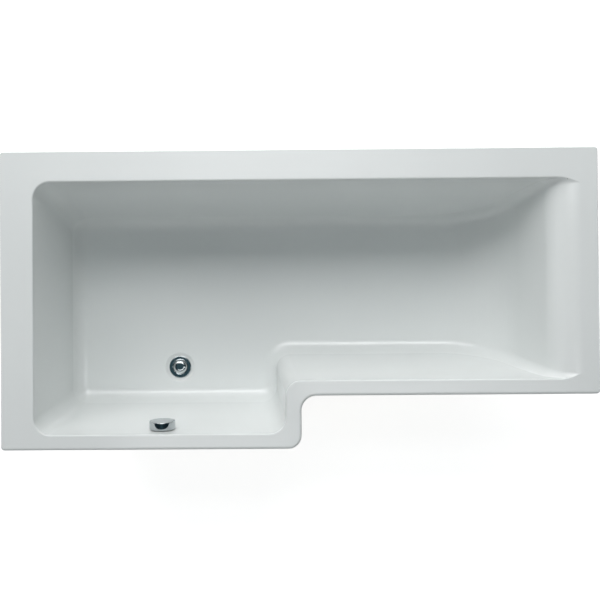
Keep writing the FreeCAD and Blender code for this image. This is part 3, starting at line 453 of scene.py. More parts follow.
# %% Well with its dish
WASTE_SHARE = 0.544
WASTE_FROM_FRONT = 0.216
WASTE_X = TAP_X + WASTE_SHARE * WIDE_LENGTH
WASTE_Y = WIDE_Y + WASTE_FROM_FRONT
FOOT_TURN = math.radians(40)
FOOT_TOP = RIM + 0.02
FOOT_STEPS = 9
CONE_BOTTOM = 0.040
CONE_TOP = 0.048
CONE_HEIGHT = 0.008
CONE_SIDES = 96
DISH_ROUND = 0.012
DISH_ROUND_STEPS = 4
DISH_TURN = math.radians(25)
DISH_REACH = 0.06
HAIR = 0.001


def by_foot(edge, turn, middle):
    return turn > FOOT_TURN and middle.z < FOOT_TOP and middle.x < FAR_X - HAIR


def add_dish(space, grow):
    bpy.ops.object.select_all(action="DESELECT")
    bpy.ops.mesh.primitive_cone_add(vertices=CONE_SIDES, radius1=CONE_BOTTOM + grow, radius2=CONE_TOP + grow,
                                    depth=CONE_HEIGHT, location=(WASTE_X, WASTE_Y, FLOOR - grow))
    boolean(space, bpy.context.object, "UNION")

    def dish_edge(edge, turn, middle):
        near = math.hypot(middle.x - WASTE_X, middle.y - WASTE_Y) < DISH_REACH
        return near and turn > DISH_TURN and middle.z < FLOOR - grow + HAIR
    bevel_by_weight(space, lambda middle: DISH_ROUND, dish_edge, DISH_ROUND_STEPS)


def well(name, grow):
    space = drawn_out(name, lengthwise(grow), (0, -WIDTH - 2 * BEYOND, 0))
    plan = channel(grow)
    boolean(plan, pocket(grow), "UNION")
    boolean(space, plan, "INTERSECT")
    round_corner(space, tap_x, back_y, grow, CORNER + grow)
    round_corner(space, tap_x, wide_y, grow, CORNER + grow)
    round_corner(space, step_x, wide_y, grow, CORNER + grow)
    round_corner(space, step_x, narrow_y, grow, STEP_CORNER - grow)
    bevel_by_weight(space, lambda middle: foot_radius(middle.z, grow), by_foot, FOOT_STEPS)
    bow_walls(space, grow)
    add_dish(space, grow)
    return space


inner_well = well("inner_well", 0.0)
measured(inner_well)

# %% [markdown]
# ## The rim
# The rim is a flat L with a lip turned down all round, 45 mm deep, which hides the edge of the wall tiles
# or of a panel. It is a block with rounded corners and a rounded top edge, hollowed by a smaller block of
# the same form, so the sheet is 5 mm thick everywhere. Along the room side the top edge is rounded by
# 8 mm. At the back and the ends the round is 3 mm.

# %% Rim block
OUTER_CORNER = 0.010
STEP_NOSE = 0.038
STEP_HOLLOW = 0.043
RIM_CORNER_STEPS = 10
ROOM_SIDE_EDGE = 0.008
OTHER_EDGE = 0.003
UNDER_EDGE = 0.001
RIM_EDGE_STEPS = 6
TOUCHING = 1e-5


def rim_block(name, inset, low, high, edge_round):
    corners = [
        (TAP_X + inset, WIDE_Y + inset, OUTER_CORNER - inset),
        (STEP_X - inset, WIDE_Y + inset, STEP_NOSE - inset),
        (STEP_X - inset, NARROW_Y + inset, STEP_HOLLOW + inset),
        (HEAD_X - inset, NARROW_Y + inset, OUTER_CORNER - inset),
        (HEAD_X - inset, BACK_Y - inset, OUTER_CORNER - inset),
        (TAP_X + inset, BACK_Y - inset, OUTER_CORNER - inset),
    ]
    block = drawn_out(name, [(x, y, low) for x, y, radius in corners], (0, 0, high - low))
    for x, y, radius in corners:
        def upright(edge):
            return all(math.hypot(v.co.x - x, v.co.y - y) < TOUCHING for v in edge.verts)
        bevel_edges(block, upright, radius, RIM_CORNER_STEPS)

    def on_top(edge, turn, middle):
        return all(v.co.z > high - TOUCHING for v in edge.verts)
    bevel_by_weight(block, edge_round, on_top, RIM_EDGE_STEPS)
    return block


def outer_round(middle):
    at_tap_end = middle.x < TAP_X + OUTER_CORNER + HAIR
    front_y = WIDE_Y if at_tap_end else NARROW_Y
    share = min(1, max(0, 1 - (middle.y - front_y) / OUTER_CORNER))
    return OTHER_EDGE + share * (ROOM_SIDE_EDGE - OTHER_EDGE)


shell = rim_block("bath_shell", 0, RIM - LIP, RIM, outer_round)
under_rim = rim_block("under_rim", SHEET, RIM - LIP - BEYOND, RIM - SHEET, lambda middle: UNDER_EDGE)
boolean(shell, under_rim, "DIFFERENCE")
measured(shell)

# %% [markdown]
# ## Joining rim and well into one skin
# The back of the sheet is the well again, grown by 5 mm. It is joined to the rim and the inner well is
# taken away, which leaves one closed skin. Two holes are cut: one in the floor for the waste, and one in
# the room-side wall for the overflow, square to the wall, where the CAD model has it.

# %% Shell of acrylic
UP = Vector((0, 0, 1))
OVERFLOW = Vector((-0.39888, -0.37381, 0.480))
OVERFLOW_AXIS = Vector((0, 0.993109, 0.117197))
WASTE_HOLE = 0.026
WASTE_DRILL = 0.06
OVERFLOW_HOLE = 0.025
OVERFLOW_DRILL = 0.05
DRILL_SIDES = 96
BEFORE_ROLL_END = 0.003


def drill(piece, point, axis, radius, depth):
    turn = UP.rotation_difference(axis).to_euler()
    bpy.ops.object.select_all(action="DESELECT")
    bpy.ops.mesh.primitive_cylinder_add(vertices=DRILL_SIDES, radius=radius, depth=depth, location=point,
                                        rotation=turn)
    boolean(piece, bpy.context.object, "DIFFERENCE")


def drill_for_fittings(piece):
    drill(piece, (WASTE_X, WASTE_Y, FLOOR), UP, WASTE_HOLE, WASTE_DRILL)
    drill(piece, OVERFLOW, OVERFLOW_AXIS, OVERFLOW_HOLE, OVERFLOW_DRILL)


sheet_back = well("sheet_back", SHEET)
cut_off(sheet_back, (0, 0, RIM - SHEET / 2), (0, 0, 1))
cut_off(sheet_back, (WELL_HEAD_X - BEFORE_ROLL_END, 0, 0), (1, 0, 0))
boolean(shell, sheet_back, "UNION")
boolean(shell, inner_well, "DIFFERENCE")
drill_for_fittings(shell)
measured(shell)

# %% [markdown]
# ## The inner edge of the rim
# Where the rim turns down into the well the real edge is a tight round of about 5 mm. It catches the
# light as a thin bright line along the room side. The edge is found as the sharp edge that lies in the
# rim's plane, away from the outside. Weighted normals then keep the large flat rim flat, with the rounds
# blending into it.

# %% Round the inner edge and smooth the skin
INNER_EDGE = 0.005
INNER_EDGE_STEPS = 5
INNER_TURN = math.radians(12)
WIDE_MARGIN = 0.05
NARROW_MARGIN = 0.02
SKIN_ANGLE = 32


def inner_rim(edge, turn, middle):
    in_plane = all(abs(v.co.z - RIM) < TOUCHING for v in edge.verts)
    ends = TAP_X + WIDE_MARGIN < middle.x < HEAD_X - NARROW_MARGIN
    parting_y = NARROW_Y + NARROW_MARGIN
    narrow_part = parting_y < middle.y < BACK_Y - WIDE_MARGIN
    wide_part = middle.x < STEP_X - NARROW_MARGIN and WIDE_Y + NARROW_MARGIN < middle.y <= parting_y
    return turn > INNER_TURN and in_plane and ends and (narrow_part or wide_part)


def smoothed(piece, degrees):
    only(piece)
    bpy.ops.object.shade_smooth_by_angle(angle=math.radians(degrees))
    weighted = piece.modifiers.new("Even", "WEIGHTED_NORMAL")
    weighted.keep_sharp = True
    apply(piece, weighted)


bevel_by_weight(shell, lambda middle: INNER_EDGE, inner_rim, INNER_EDGE_STEPS)
smoothed(shell, SKIN_ANGLE)
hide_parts("acrylic_shell")
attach(shell, "bath")
measured(shell)

# %% [markdown]
# ## The glass-fibre backing
# Acrylic alone would flex, so the factory sprays chopped glass and resin over the back of the well. It
# ends in a line below the rim. The layer is the well grown by the sheet and the layer, less the well
# grown by the sheet.

# %% Sprayed layer
FIBRE_BELOW_RIM = 0.060
backing = well("fibre_backing", SHEET + FIBRE)
cut_off(backing, (0, 0, RIM - FIBRE_BELOW_RIM), (0, 0, 1))
boolean(backing, well("sheet_face", SHEET), "DIFFERENCE")
drill_for_fittings(backing)
smoothed(backing, SKIN_ANGLE)
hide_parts("grp_reinforcement")
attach(backing, "bath")
measured(backing)

# %% [markdown]
# ## The waste ring
# A chrome ring is screwed down onto the floor and holds the waste in place. Its face is almost flat, so
# from above it mirrors the dark ceiling and looks black. Below the floor it has a threaded tail, with
# three thin arms that carry the guide of the plug. The ring and its guide are spun from half outlines,
# with a few points for the round shoulder and the round lip, and the arms are small blocks set round the
# guide.

# %% Ring, tail and guide
WASTE = (WASTE_X, WASTE_Y)
MERGE = 0.00001
RING_SIDES = 96
GUIDE_SIDES = 48
TAIL_BORE = 0.0215
TAIL_RADIUS = 0.0240
TAIL_LOW = 0.1155
SEAT = (0.0225, 0.1465)
RING_RADIUS = 0.0350
RING_LOW = 0.1475
SHOULDER = [(RING_RADIUS, 0.1490), (0.0347, 0.1498), (0.0340, 0.1503), (0.0330, 0.1505)]
LIP_ROUND = [(0.0238, 0.1502), (0.0231, 0.1499), (0.0226, 0.1492)]
RING_LINE = [(TAIL_BORE, TAIL_LOW), (TAIL_RADIUS, TAIL_LOW), (TAIL_RADIUS, RING_LOW), (RING_RADIUS, RING_LOW),
             *SHOULDER, *LIP_ROUND, SEAT, (TAIL_BORE, SEAT[1]), (TAIL_BORE, TAIL_LOW)]
GUIDE_BORE = 0.0041
GUIDE_RADIUS = 0.0080
GUIDE_LOW = 0.1235
GUIDE_HIGH = 0.1315
GUIDE_LINE = [(GUIDE_BORE, GUIDE_LOW), (GUIDE_RADIUS, GUIDE_LOW), (GUIDE_RADIUS, GUIDE_HIGH),
              (GUIDE_BORE, GUIDE_HIGH), (GUIDE_BORE, GUIDE_LOW)]
ARMS = 3
ARM_SIZE = (0.0160, 0.0040, 0.0078)
ARM_Z = 0.1275
ARM_OUT = 0.0145
CHROME_ANGLE = 30


def spun(name, centre, profile, steps):
    piece = drawn_line(name, [(centre[0] + radius, centre[1], z) for radius, z in profile])
    bpy.ops.mesh.spin(steps=steps, angle=2 * math.pi, center=(*centre, 0), axis=(0, 0, 1))
    merge_doubles(MERGE)
    return piece


ring = spun("waste_ring", WASTE, RING_LINE, RING_SIDES)
boolean(ring, spun("guide", WASTE, GUIDE_LINE, GUIDE_SIDES), "UNION")
for arm in range(ARMS):
    angle = arm * 2 * math.pi / ARMS + math.pi / 2
    way_out = Vector((math.cos(angle), math.sin(angle), 0))
    bpy.ops.object.select_all(action="DESELECT")
    bpy.ops.mesh.primitive_cube_add(size=1, scale=ARM_SIZE, rotation=(0, 0, angle),
                                    location=Vector((*WASTE, ARM_Z)) + way_out * ARM_OUT)
    boolean(ring, bpy.context.object, "UNION")
smoothed(ring, CHROME_ANGLE)
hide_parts("waste_flange")
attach(ring, "bath")
measured(ring)

# %% [markdown]
# ## The cap of the plug
# The cap that pops up is pressed from brass sheet and plated. Its middle is nearly flat and its edge
# rolls over quickly, so it mirrors the dark ceiling in the middle and shows the lights only as a thin
# crescent. A ball's surface would show them much wider. The outline is a curve of the fifth power, spun
# about the axis of the stem.

# %% Pressed cap
CAP_EDGE = 0.0015
CAP_STEPS = 24
CAP_POWER = 5
cap_low, cap_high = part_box("plug_cap")
cap_radius = (cap_high.x - cap_low.x) / 2
cap_rise = cap_high.z - cap_low.z - CAP_EDGE
cap_line = [(0, cap_low.z), (cap_radius, cap_low.z)]
for step in range(CAP_STEPS, -1, -1):
    share = step / CAP_STEPS
    cap_line.append((cap_radius * share, cap_low.z + CAP_EDGE + cap_rise * (1 - share ** CAP_POWER)))
cap = spun("pop_up_cap", WASTE, cap_line, RING_SIDES)
smoothed(cap, CHROME_ANGLE)
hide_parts("plug_cap")
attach(cap, "plug")
measured(cap)

# %% [markdown]
# ## The overflow hose
# A thin plastic hose with rings carries overflow water round to the waste. One ring is modelled as a
# circle that is extruded and widened, and an array repeats it. A solidify modifier then gives the wall
# its thickness, with the rings showing inside as they do in a real hose, and a curve modifier lays the
# row along the hose's way.

# %% One ring of the hose
HOSE_TOP = Vector((-0.39888, -0.40062, 0.42184))
HOSE_END = Vector((-0.38867, -0.26086, 0.10400))
HOSE_BEND = 0.110
HOSE_PITCH = 0.0055
HOSE_SIDES = 40
HOSE_ROOT = 0.0120
HOSE_FLANK = 0.01275
HOSE_CREST = 0.0135
RING_SHAPE = ((0.25, HOSE_ROOT), (0.36, HOSE_FLANK), (0.47, HOSE_CREST),
              (0.78, HOSE_CREST), (0.89, HOSE_FLANK), (1, HOSE_ROOT))
inward = Vector((HOSE_END.x - HOSE_TOP.x, HOSE_END.y - HOSE_TOP.y, 0)).normalized()
drop = HOSE_TOP.z - HOSE_END.z - HOSE_BEND
reach = (HOSE_END - HOSE_TOP).dot(inward) - HOSE_BEND
hose_length = drop + HOSE_BEND * math.pi / 2 + reach
ring_count = round(hose_length / HOSE_PITCH)
ring_pitch = hose_length / ring_count

bpy.ops.object.select_all(action="DESELECT")
bpy.ops.mesh.primitive_circle_add(vertices=HOSE_SIDES, radius=HOSE_ROOT)
hose = bpy.context.object
hose.name = "ringed_hose"
bpy.ops.object.mode_set(mode="EDIT")
bpy.ops.mesh.select_all(action="SELECT")
height = 0
width = HOSE_ROOT
for share, radius in RING_SHAPE:
    rise = (0, 0, share * ring_pitch - height)
    height = share * ring_pitch
    bpy.ops.mesh.extrude_region_move(TRANSFORM_OT_translate={"value": rise})
    bpy.ops.transform.resize(value=(radius / width, radius / width, 1), center_override=(0, 0, height))
    width = radius
bpy.ops.object.mode_set(mode="OBJECT")
print("hose", round(hose_length, 3), "m long,", ring_count, "rings")

# %% [markdown]
# ## Laying the hose along its way
# The way is a Bezier curve: straight down from the overflow, a wide quarter bend, and level into the
# waste. Handles 0.5523 of the radius long make a Bezier quarter that is round to a fraction of a
# millimetre.

# %% Hose along its curve
QUARTER_HANDLE = 0.5523
HOSE_WALL = 0.0018
HOSE_MERGE = 0.0001
TUBE_ANGLE = 40
bend_start = HOSE_TOP - Vector((0, 0, drop))
bend_end = HOSE_END - inward * reach
handle = QUARTER_HANDLE * HOSE_BEND
bpy.ops.curve.primitive_bezier_curve_add()
way = bpy.context.object
way.data.resolution_u = 48
spline = way.data.splines[0]
spline.bezier_points.add(2)
down = Vector((0, 0, -1))
stations = ((HOSE_TOP, down, drop / 3, drop / 3), (bend_start, down, drop / 3, handle),
            (bend_end, inward, handle, reach / 3), (HOSE_END, inward, reach / 3, reach / 3))
for point, (place, along, before, after) in zip(spline.bezier_points, stations):
    point.handle_left_type = point.handle_right_type = "FREE"
    point.co = place
    point.handle_left = place - along * before
    point.handle_right = place + along * after

row = hose.modifiers.new("Row", "ARRAY")
row.count = ring_count
row.use_relative_offset = False
row.use_constant_offset = True
row.constant_offset_displace = (0, 0, ring_pitch)
row.use_merge_vertices = True
row.merge_threshold = HOSE_MERGE
apply(hose, row)
wall = hose.modifiers.new("Wall", "SOLIDIFY")
wall.thickness = HOSE_WALL
wall.offset = -1
apply(hose, wall)
laid = hose.modifiers.new("Laid", "CURVE")
laid.object = way
laid.deform_axis = "POS_Z"
apply(hose, laid)
bpy.data.objects.remove(way)
smoothed(hose, TUBE_ANGLE)
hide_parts("overflow_hose")
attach(hose, "bath")
measured(hose)

# %% [markdown]
# ## The release cable
# Turning the overflow knob pulls a wire inside a sheath, which lifts the plug. The sheath is springy, so
# it runs in one smooth line from end to end. A NURBS path does that with few points: it rounds every
# corner by itself.

# %% Sheathed cable
CABLE_RADIUS = 0.003
CABLE_WAY = [(-0.36688, -0.40062, 0.47684), (-0.26488, -0.40062, 0.47684), (-0.26488, -0.40062, 0.37484),
             (-0.26488, -0.40062, 0.10600), (-0.26488, -0.20900, 0.10600), (-0.34888, -0.20900, 0.10600)]
bpy.ops.object.select_all(action="DESELECT")
bpy.ops.curve.primitive_nurbs_path_add()
cable = bpy.context.object
cable.name = "cable_sheath"
cable_spline = cable.data.splines[0]
cable_spline.points.add(len(CABLE_WAY) - len(cable_spline.points))
for point, place in zip(cable_spline.points, CABLE_WAY):
    point.co = (*place, 1)
cable_spline.order_u = 3
cable_spline.use_endpoint_u = True
cable_spline.resolution_u = 24
cable.data.bevel_depth = CABLE_RADIUS
cable.data.bevel_resolution = 5
cable.data.use_fill_caps = True
bpy.ops.object.convert(target="MESH")
cable = bpy.context.object
start_edit(cable)
merge_doubles(MERGE)
smoothed(cable, TUBE_ANGLE)
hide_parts("release_cable")
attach(cable, "bath")
measured(cable)

# %% [markdown]
# ## Threaded rods of the feet
# Each foot is set to height on a 10 mm threaded rod. A thread is one small tooth carried round and up:
# the Screw modifier turns a three-point line and lifts it by the pitch each turn, so the turns join into
# one surface. The two ends are sawn flat with a filled bisect. One rod is modelled and the others are
# copies.

# %% Threaded rod and its copies
ROD_RADIUS = 0.005
ROD_ROOT = 0.0041
ROD_LOW = 0.010
ROD_HIGH = 0.145
THREAD_PITCH = 0.0015
THREAD_STEPS = 20
THREAD_MERGE = 0.00002
THREAD_ANGLE = math.radians(35)
SPARE_TURNS = 2
FEET = [name for name in frame["bodies"] if name.startswith("foot_")]


def corner_of(foot):
    return foot.removeprefix("foot_")


def foot_centre(foot):
    low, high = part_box("adjuster_rod_" + corner_of(foot))
    return Vector(((low.x + high.x) / 2, (low.y + high.y) / 2, 0))


def copied(piece, name, move):
    only(piece)
    bpy.ops.object.duplicate()
    twin = bpy.context.object
    twin.name = name
    twin.data.name = name
    bpy.ops.object.mode_set(mode="EDIT")
    bpy.ops.mesh.select_all(action="SELECT")
    bpy.ops.transform.translate(value=move)
    bpy.ops.object.mode_set(mode="OBJECT")
    return twin


start_z = ROD_LOW - SPARE_TURNS * THREAD_PITCH
tooth = [(ROD_ROOT, 0, start_z), (ROD_RADIUS, 0, start_z + THREAD_PITCH / 2),
         (ROD_ROOT, 0, start_z + THREAD_PITCH)]
threaded = drawn_line("threaded_rod", tooth)
bpy.ops.object.mode_set(mode="OBJECT")
thread = threaded.modifiers.new("Thread", "SCREW")
thread.axis = "Z"
thread.steps = THREAD_STEPS
thread.render_steps = THREAD_STEPS
thread.screw_offset = THREAD_PITCH
thread.iterations = round((ROD_HIGH - ROD_LOW) / THREAD_PITCH) + 2 * SPARE_TURNS
thread.use_merge_vertices = True
thread.merge_threshold = THREAD_MERGE
apply(threaded, thread)
start_edit(threaded)
merge_doubles(THREAD_MERGE)
cut_off(threaded, (0, 0, ROD_HIGH), (0, 0, 1))
cut_off(threaded, (0, 0, ROD_LOW), (0, 0, -1))
only(threaded)
bpy.ops.object.shade_smooth_by_angle(angle=THREAD_ANGLE)
measured(threaded)
rods = [copied(threaded, "threaded_rod_" + corner_of(foot), foot_centre(foot)) for foot in FEET]
for foot, rod in zip(FEET, rods):
    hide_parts("adjuster_rod_" + corner_of(foot))
    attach(rod, foot)
bpy.data.objects.remove(threaded)
print("rods", [rod.name for rod in rods])

# %% [markdown]
# ## Lock nuts
# Two nuts clamp each rod to its bar. A nut is a six-sided prism whose corners are turned away at 30
# degrees on both faces. The prism is a cylinder with six sides; the turned corners come from keeping only
# what lies in a spun body with sloped shoulders. Then the bore is cut and the nut is copied to every
# foot. The spun body has 50 sides, so that none of its edges runs exactly along a corner of the prism.

# %% Nut, modelled once
NUT_FLATS = 0.017
NUT_HIGH = 0.008
NUT_SLOPE = math.pi / 6
NUT_FACE = 0.0082
NUT_BORE = 0.00505
NUT_DRILL = 0.02
NUT_ANGLE = 25
TURNED_INNER = 0.0070
TURNED_OUTER = 0.0110
TURNED_SIDES = 50
nut_corner = NUT_FLATS / 2 / math.cos(math.pi / 6)


def shoulder(radius):
    return (radius - NUT_FACE) * math.tan(NUT_SLOPE)


bpy.ops.object.select_all(action="DESELECT")
bpy.ops.mesh.primitive_cylinder_add(vertices=6, radius=nut_corner, depth=NUT_HIGH,
                                    location=(0, 0, NUT_HIGH / 2))
nut = bpy.context.object
nut.name = "nut"
bpy.ops.object.transform_apply()
lower_half = [(0, shoulder(TURNED_INNER)), (TURNED_INNER, shoulder(TURNED_INNER)),
              (TURNED_OUTER, shoulder(TURNED_OUTER))]
upper_half = [(radius, NUT_HIGH - z) for radius, z in reversed(lower_half)]
boolean(nut, spun("turned", (0, 0), lower_half + upper_half, TURNED_SIDES), "INTERSECT")
drill(nut, (0, 0, NUT_HIGH / 2), UP, NUT_BORE, NUT_DRILL)
smoothed(nut, NUT_ANGLE)
measured(nut)

# %% Nuts above and below each bar
def nut_row(name, node):
    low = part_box(node)[0].z
    copies = [copied(nut, name, foot_centre(foot) + Vector((0, 0, low))) for foot in FEET]
    only(copies[0])
    for twin in copies:
        twin.select_set(True)
    bpy.ops.object.join()
    row = bpy.context.object
    row.name = name
    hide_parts(node)
    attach(row, "bath")
    measured(row)
    return row


upper_nuts = nut_row("upper_nuts", "upper_lock_nuts")
lower_nuts = nut_row("lower_nuts", "lower_lock_nuts")
bpy.data.objects.remove(nut)

# %% [markdown]
# ## Battens under the rim
# Planed battens are bonded under the rim to stiffen it. A planed edge is never quite sharp: the mill
# takes it off by a millimetre or two. Each batten is a cube brought to the node's size, with its long
# edges bevelled.

# %% Planed battens
PLANED_EDGE = 0.0015
PLANED_STEPS = 3
LONG_EDGE = 0.1
BATTEN_ANGLE = 35
BATTENS = [name for name in nodes if name.startswith("rim_batten_")]
batten_pieces = {}
for node in BATTENS:
    low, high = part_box(node)
    bpy.ops.object.select_all(action="DESELECT")
    bpy.ops.mesh.primitive_cube_add(size=1, location=(low + high) / 2, scale=high - low)
    batten = bpy.context.object
    batten.name = node.replace("rim_batten", "planed_batten")
    bpy.ops.object.transform_apply()
    long_axis = 0 if high.x - low.x > high.y - low.y else 1

    def runs_along(edge):
        first, last = edge.verts
        return abs(first.co[long_axis] - last.co[long_axis]) > LONG_EDGE
    bevel_edges(batten, runs_along, PLANED_EDGE, PLANED_STEPS)
    smoothed(batten, BATTEN_ANGLE)
    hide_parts(node)
    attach(batten, "bath")
    batten_pieces[node] = (batten, long_axis)
print("battens", len(batten_pieces))

# %% [markdown]
# ## Colours and nodes
# Colours are written as sRGB hex, as a paint chart gives them, and one function turns them to the linear
# values that a shader works in. A second function adds a node, sets it and links it. The others start a
# finish, link its patterns to the shader, and dress pieces in it. A mix node has several sockets of one
# name, one for each kind of data, so those for colours are picked by number.

# %% Colour and node helpers
def linear(hex_colour):
    parts = [int(hex_colour[k:k + 2], 16) / 255 for k in (1, 3, 5)]
    return (*[v / 12.92 if v <= 0.04045 else ((v + 0.055) / 1.055) ** 2.4 for v in parts], 1)


MIX_A = 6
MIX_B = 7
MIXED = 2


def add(material, kind, values=None, links=None, **settings):
    node = material.node_tree.nodes.new(kind)
    for name, value in settings.items():
        setattr(node, name, value)
    for socket, value in (values or {}).items():
        node.inputs[socket].default_value = value
    for socket, source in (links or {}).items():
        material.node_tree.links.new(source, node.inputs[socket])
    return node


def finish_named(name):
    material = bpy.data.materials.new(name)
    material.use_nodes = True
    surface = material.node_tree.nodes["Principled BSDF"]
    place = add(material, "ShaderNodeTexCoord").outputs["Object"]
    return material, surface, place


def join(material, surface, **sources):
    for socket, source in sources.items():
        material.node_tree.links.new(source, surface.inputs[socket.replace("_", " ")])


def dress(material, *pieces):
    for piece in pieces:
        piece.data.materials.clear()
        piece.data.materials.append(material)
    print(material.name, "on", len(pieces), "pieces")


# %% [markdown]
# ## Acrylic
# The sheet is cast acrylic, white all through, and its face keeps the gloss of the glass that it was cast
# on. Its IOR is 1.49. Stretching in the mould leaves long, very shallow waves, which bend reflections a
# little, and the white is never perfectly even, so a slow change of tone goes over it.

# %% Cast acrylic, formed and glossy
acrylic, surface, place = finish_named("cast_acrylic_glossy_white")
tone = add(acrylic, "ShaderNodeTexNoise", {"Scale": 1 / 0.300, "Detail": 2}, {"Vector": place})
white = add(acrylic, "ShaderNodeMix", {MIX_A: linear("#E7EAE9"), MIX_B: linear("#EBEEED")},
            {"Factor": tone.outputs["Fac"]}, data_type="RGBA")
waves = add(acrylic, "ShaderNodeTexNoise", {"Scale": 1 / 0.090, "Detail": 1}, {"Vector": place})
wavy = add(acrylic, "ShaderNodeBump", {"Strength": 0.05, "Distance": 0.0004},
           {"Height": waves.outputs["Fac"]})
polish = add(acrylic, "ShaderNodeMapRange", {"To Min": 0.13, "To Max": 0.17}, {"Value": tone.outputs["Fac"]})
surface.inputs["IOR"].default_value = 1.49
join(acrylic, surface, Base_Color=white.outputs[MIXED], Roughness=polish.outputs["Result"],
     Normal=wavy.outputs["Normal"])
dress(acrylic, shell)

# %% [markdown]
# ## Chrome
# The waste ring, the plug and the knob are brass with bright chrome plate, polished before plating.
# Chrome is a metal with a cool grey tint, and so smooth that it shows the room as a mirror does. Handling
# and hard water dull it in patches about 8 mm wide, which the roughness shows more than the colour.

# %% Bright chrome plate
chrome, surface, place = finish_named("bright_chrome_plate")
patches = add(chrome, "ShaderNodeTexNoise", {"Scale": 1 / 0.008, "Detail": 3}, {"Vector": place})
dulled = add(chrome, "ShaderNodeMapRange", {"To Min": 0.03, "To Max": 0.09},
             {"Value": patches.outputs["Fac"]})
plate = add(chrome, "ShaderNodeMix", {MIX_A: linear("#BFC4C7"), MIX_B: linear("#C9CDCF")},
            {"Factor": patches.outputs["Fac"]}, data_type="RGBA")
surface.inputs["Metallic"].default_value = 1
join(chrome, surface, Base_Color=plate.outputs[MIXED], Roughness=dulled.outputs["Result"])
dress(chrome, ring, cap, nodes["overflow_knob"])

# %% [markdown]
# ## Glass fibre
# The backing is chopped glass strands, about 30 mm long, rolled down in polyester resin. It dries a dull
# yellowish white, with the strands lying every way and standing a little proud. Three noise patterns,
# each pulled out long and thin and turned to its own direction, give strands that cross; the strongest of
# the three is kept at each point.

# %% Chopped strand glass fibre in resin
fibre, surface, place = finish_named("sprayed_glass_fibre")
STRAND = (1 / 0.030, 1 / 0.0025, 1 / 0.0025)
STRAND_TURNS = ((0.3, 0.2, 0.0), (0.9, 0.4, 1.1), (0.2, 1.2, 2.1))
strand = None
for turn in STRAND_TURNS:
    laid_way = add(fibre, "ShaderNodeMapping", {"Rotation": turn, "Scale": STRAND}, {"Vector": place})
    streak = add(fibre, "ShaderNodeTexNoise", {"Scale": 1, "Detail": 1},
                 {"Vector": laid_way.outputs["Vector"]})
    if strand is None:
        strand = streak.outputs["Fac"]
    else:
        strand = add(fibre, "ShaderNodeMath", None, {0: strand, 1: streak.outputs["Fac"]},
                     operation="MAXIMUM").outputs[0]
clear = add(fibre, "ShaderNodeMapRange", {"From Min": 0.48, "From Max": 0.72}, {"Value": strand})
resin = add(fibre, "ShaderNodeMix", {MIX_A: linear("#BDB497"), MIX_B: linear("#E2DCC6")},
            {"Factor": clear.outputs["Result"]}, data_type="RGBA")
rough = add(fibre, "ShaderNodeMapRange", {"To Min": 0.35, "To Max": 0.65}, {"Value": strand})
proud = add(fibre, "ShaderNodeBump", {"Strength": 0.6, "Distance": 0.0008},
            {"Height": clear.outputs["Result"]})
surface.inputs["IOR"].default_value = 1.55
join(fibre, surface, Base_Color=resin.outputs[MIXED], Roughness=rough.outputs["Result"],
     Normal=proud.outputs["Normal"])
dress(fibre, backing)

# %% [markdown]
# ## Chipboard
# The board under the floor is chipboard: wood chips a few millimetres across, pressed with glue and sawn
# to size. A Voronoi pattern gives each chip its own brown, and the distance from the middle of the chip
# gives the board a fine relief.

# %% Pressed chipboard
chipboard, surface, place = finish_named("pressed_chipboard")
CHIP = (1 / 0.007, 1 / 0.005, 1 / 0.0025)
flat_chips = add(chipboard, "ShaderNodeMapping", {"Scale": CHIP}, {"Vector": place})
chips = add(chipboard, "ShaderNodeTexVoronoi", {"Scale": 1, "Randomness": 1},
            {"Vector": flat_chips.outputs["Vector"]})
chip_tone = add(chipboard, "ShaderNodeSeparateColor", None, {"Color": chips.outputs["Color"]})
browns = add(chipboard, "ShaderNodeMix", {MIX_A: linear("#A5824F"), MIX_B: linear("#D9BE92")},
             {"Factor": chip_tone.outputs["Red"]}, data_type="RGBA")
relief = add(chipboard, "ShaderNodeBump", {"Strength": 0.5, "Distance": 0.0004},
             {"Height": chips.outputs["Distance"]})
sawn = add(chipboard, "ShaderNodeMapRange", {"To Min": 0.65, "To Max": 0.85},
           {"Value": chip_tone.outputs["Green"]})
join(chipboard, surface, Base_Color=browns.outputs[MIXED], Roughness=sawn.outputs["Result"],
     Normal=relief.outputs["Normal"])
dress(chipboard, nodes["baseboard"])

# %% [markdown]
# ## Softwood
# The battens are planed pine. Each year leaves a pale band and a darker one, a millimetre or more apart,
# drawn out along the batten. The years are level lines of a noise pattern that is stretched along the
# grain: the noise is multiplied and only its fraction kept. Battens along the bath and across it need the
# grain turned, so the same finish is made for each direction.

# %% Planed pine
GRAIN_WIDTH = 0.005
GRAIN_LENGTH = 0.120
YEAR_LINES = 22


def planed_pine(name, along):
    pine, surface, place = finish_named(name)
    stretch = [1 / GRAIN_WIDTH] * 3
    stretch[along] = 1 / GRAIN_LENGTH
    grain_way = add(pine, "ShaderNodeMapping", {"Scale": stretch}, {"Vector": place})
    wander = add(pine, "ShaderNodeTexNoise", {"Scale": 0.35, "Detail": 4},
                 {"Vector": grain_way.outputs["Vector"]})
    years = add(pine, "ShaderNodeMath", {1: YEAR_LINES}, {0: wander.outputs["Fac"]}, operation="MULTIPLY")
    bands = add(pine, "ShaderNodeMath", None, {0: years.outputs[0]}, operation="FRACT")
    wood = add(pine, "ShaderNodeMix", {MIX_A: linear("#DDBE8E"), MIX_B: linear("#BE915A")},
               {"Factor": bands.outputs[0]}, data_type="RGBA")
    planed = add(pine, "ShaderNodeMapRange", {"To Min": 0.50, "To Max": 0.68}, {"Value": bands.outputs[0]})
    ridge = add(pine, "ShaderNodeBump", {"Strength": 0.25, "Distance": 0.0002}, {"Height": bands.outputs[0]})
    join(pine, surface, Base_Color=wood.outputs[MIXED], Roughness=planed.outputs["Result"],
         Normal=ridge.outputs["Normal"])
    return pine


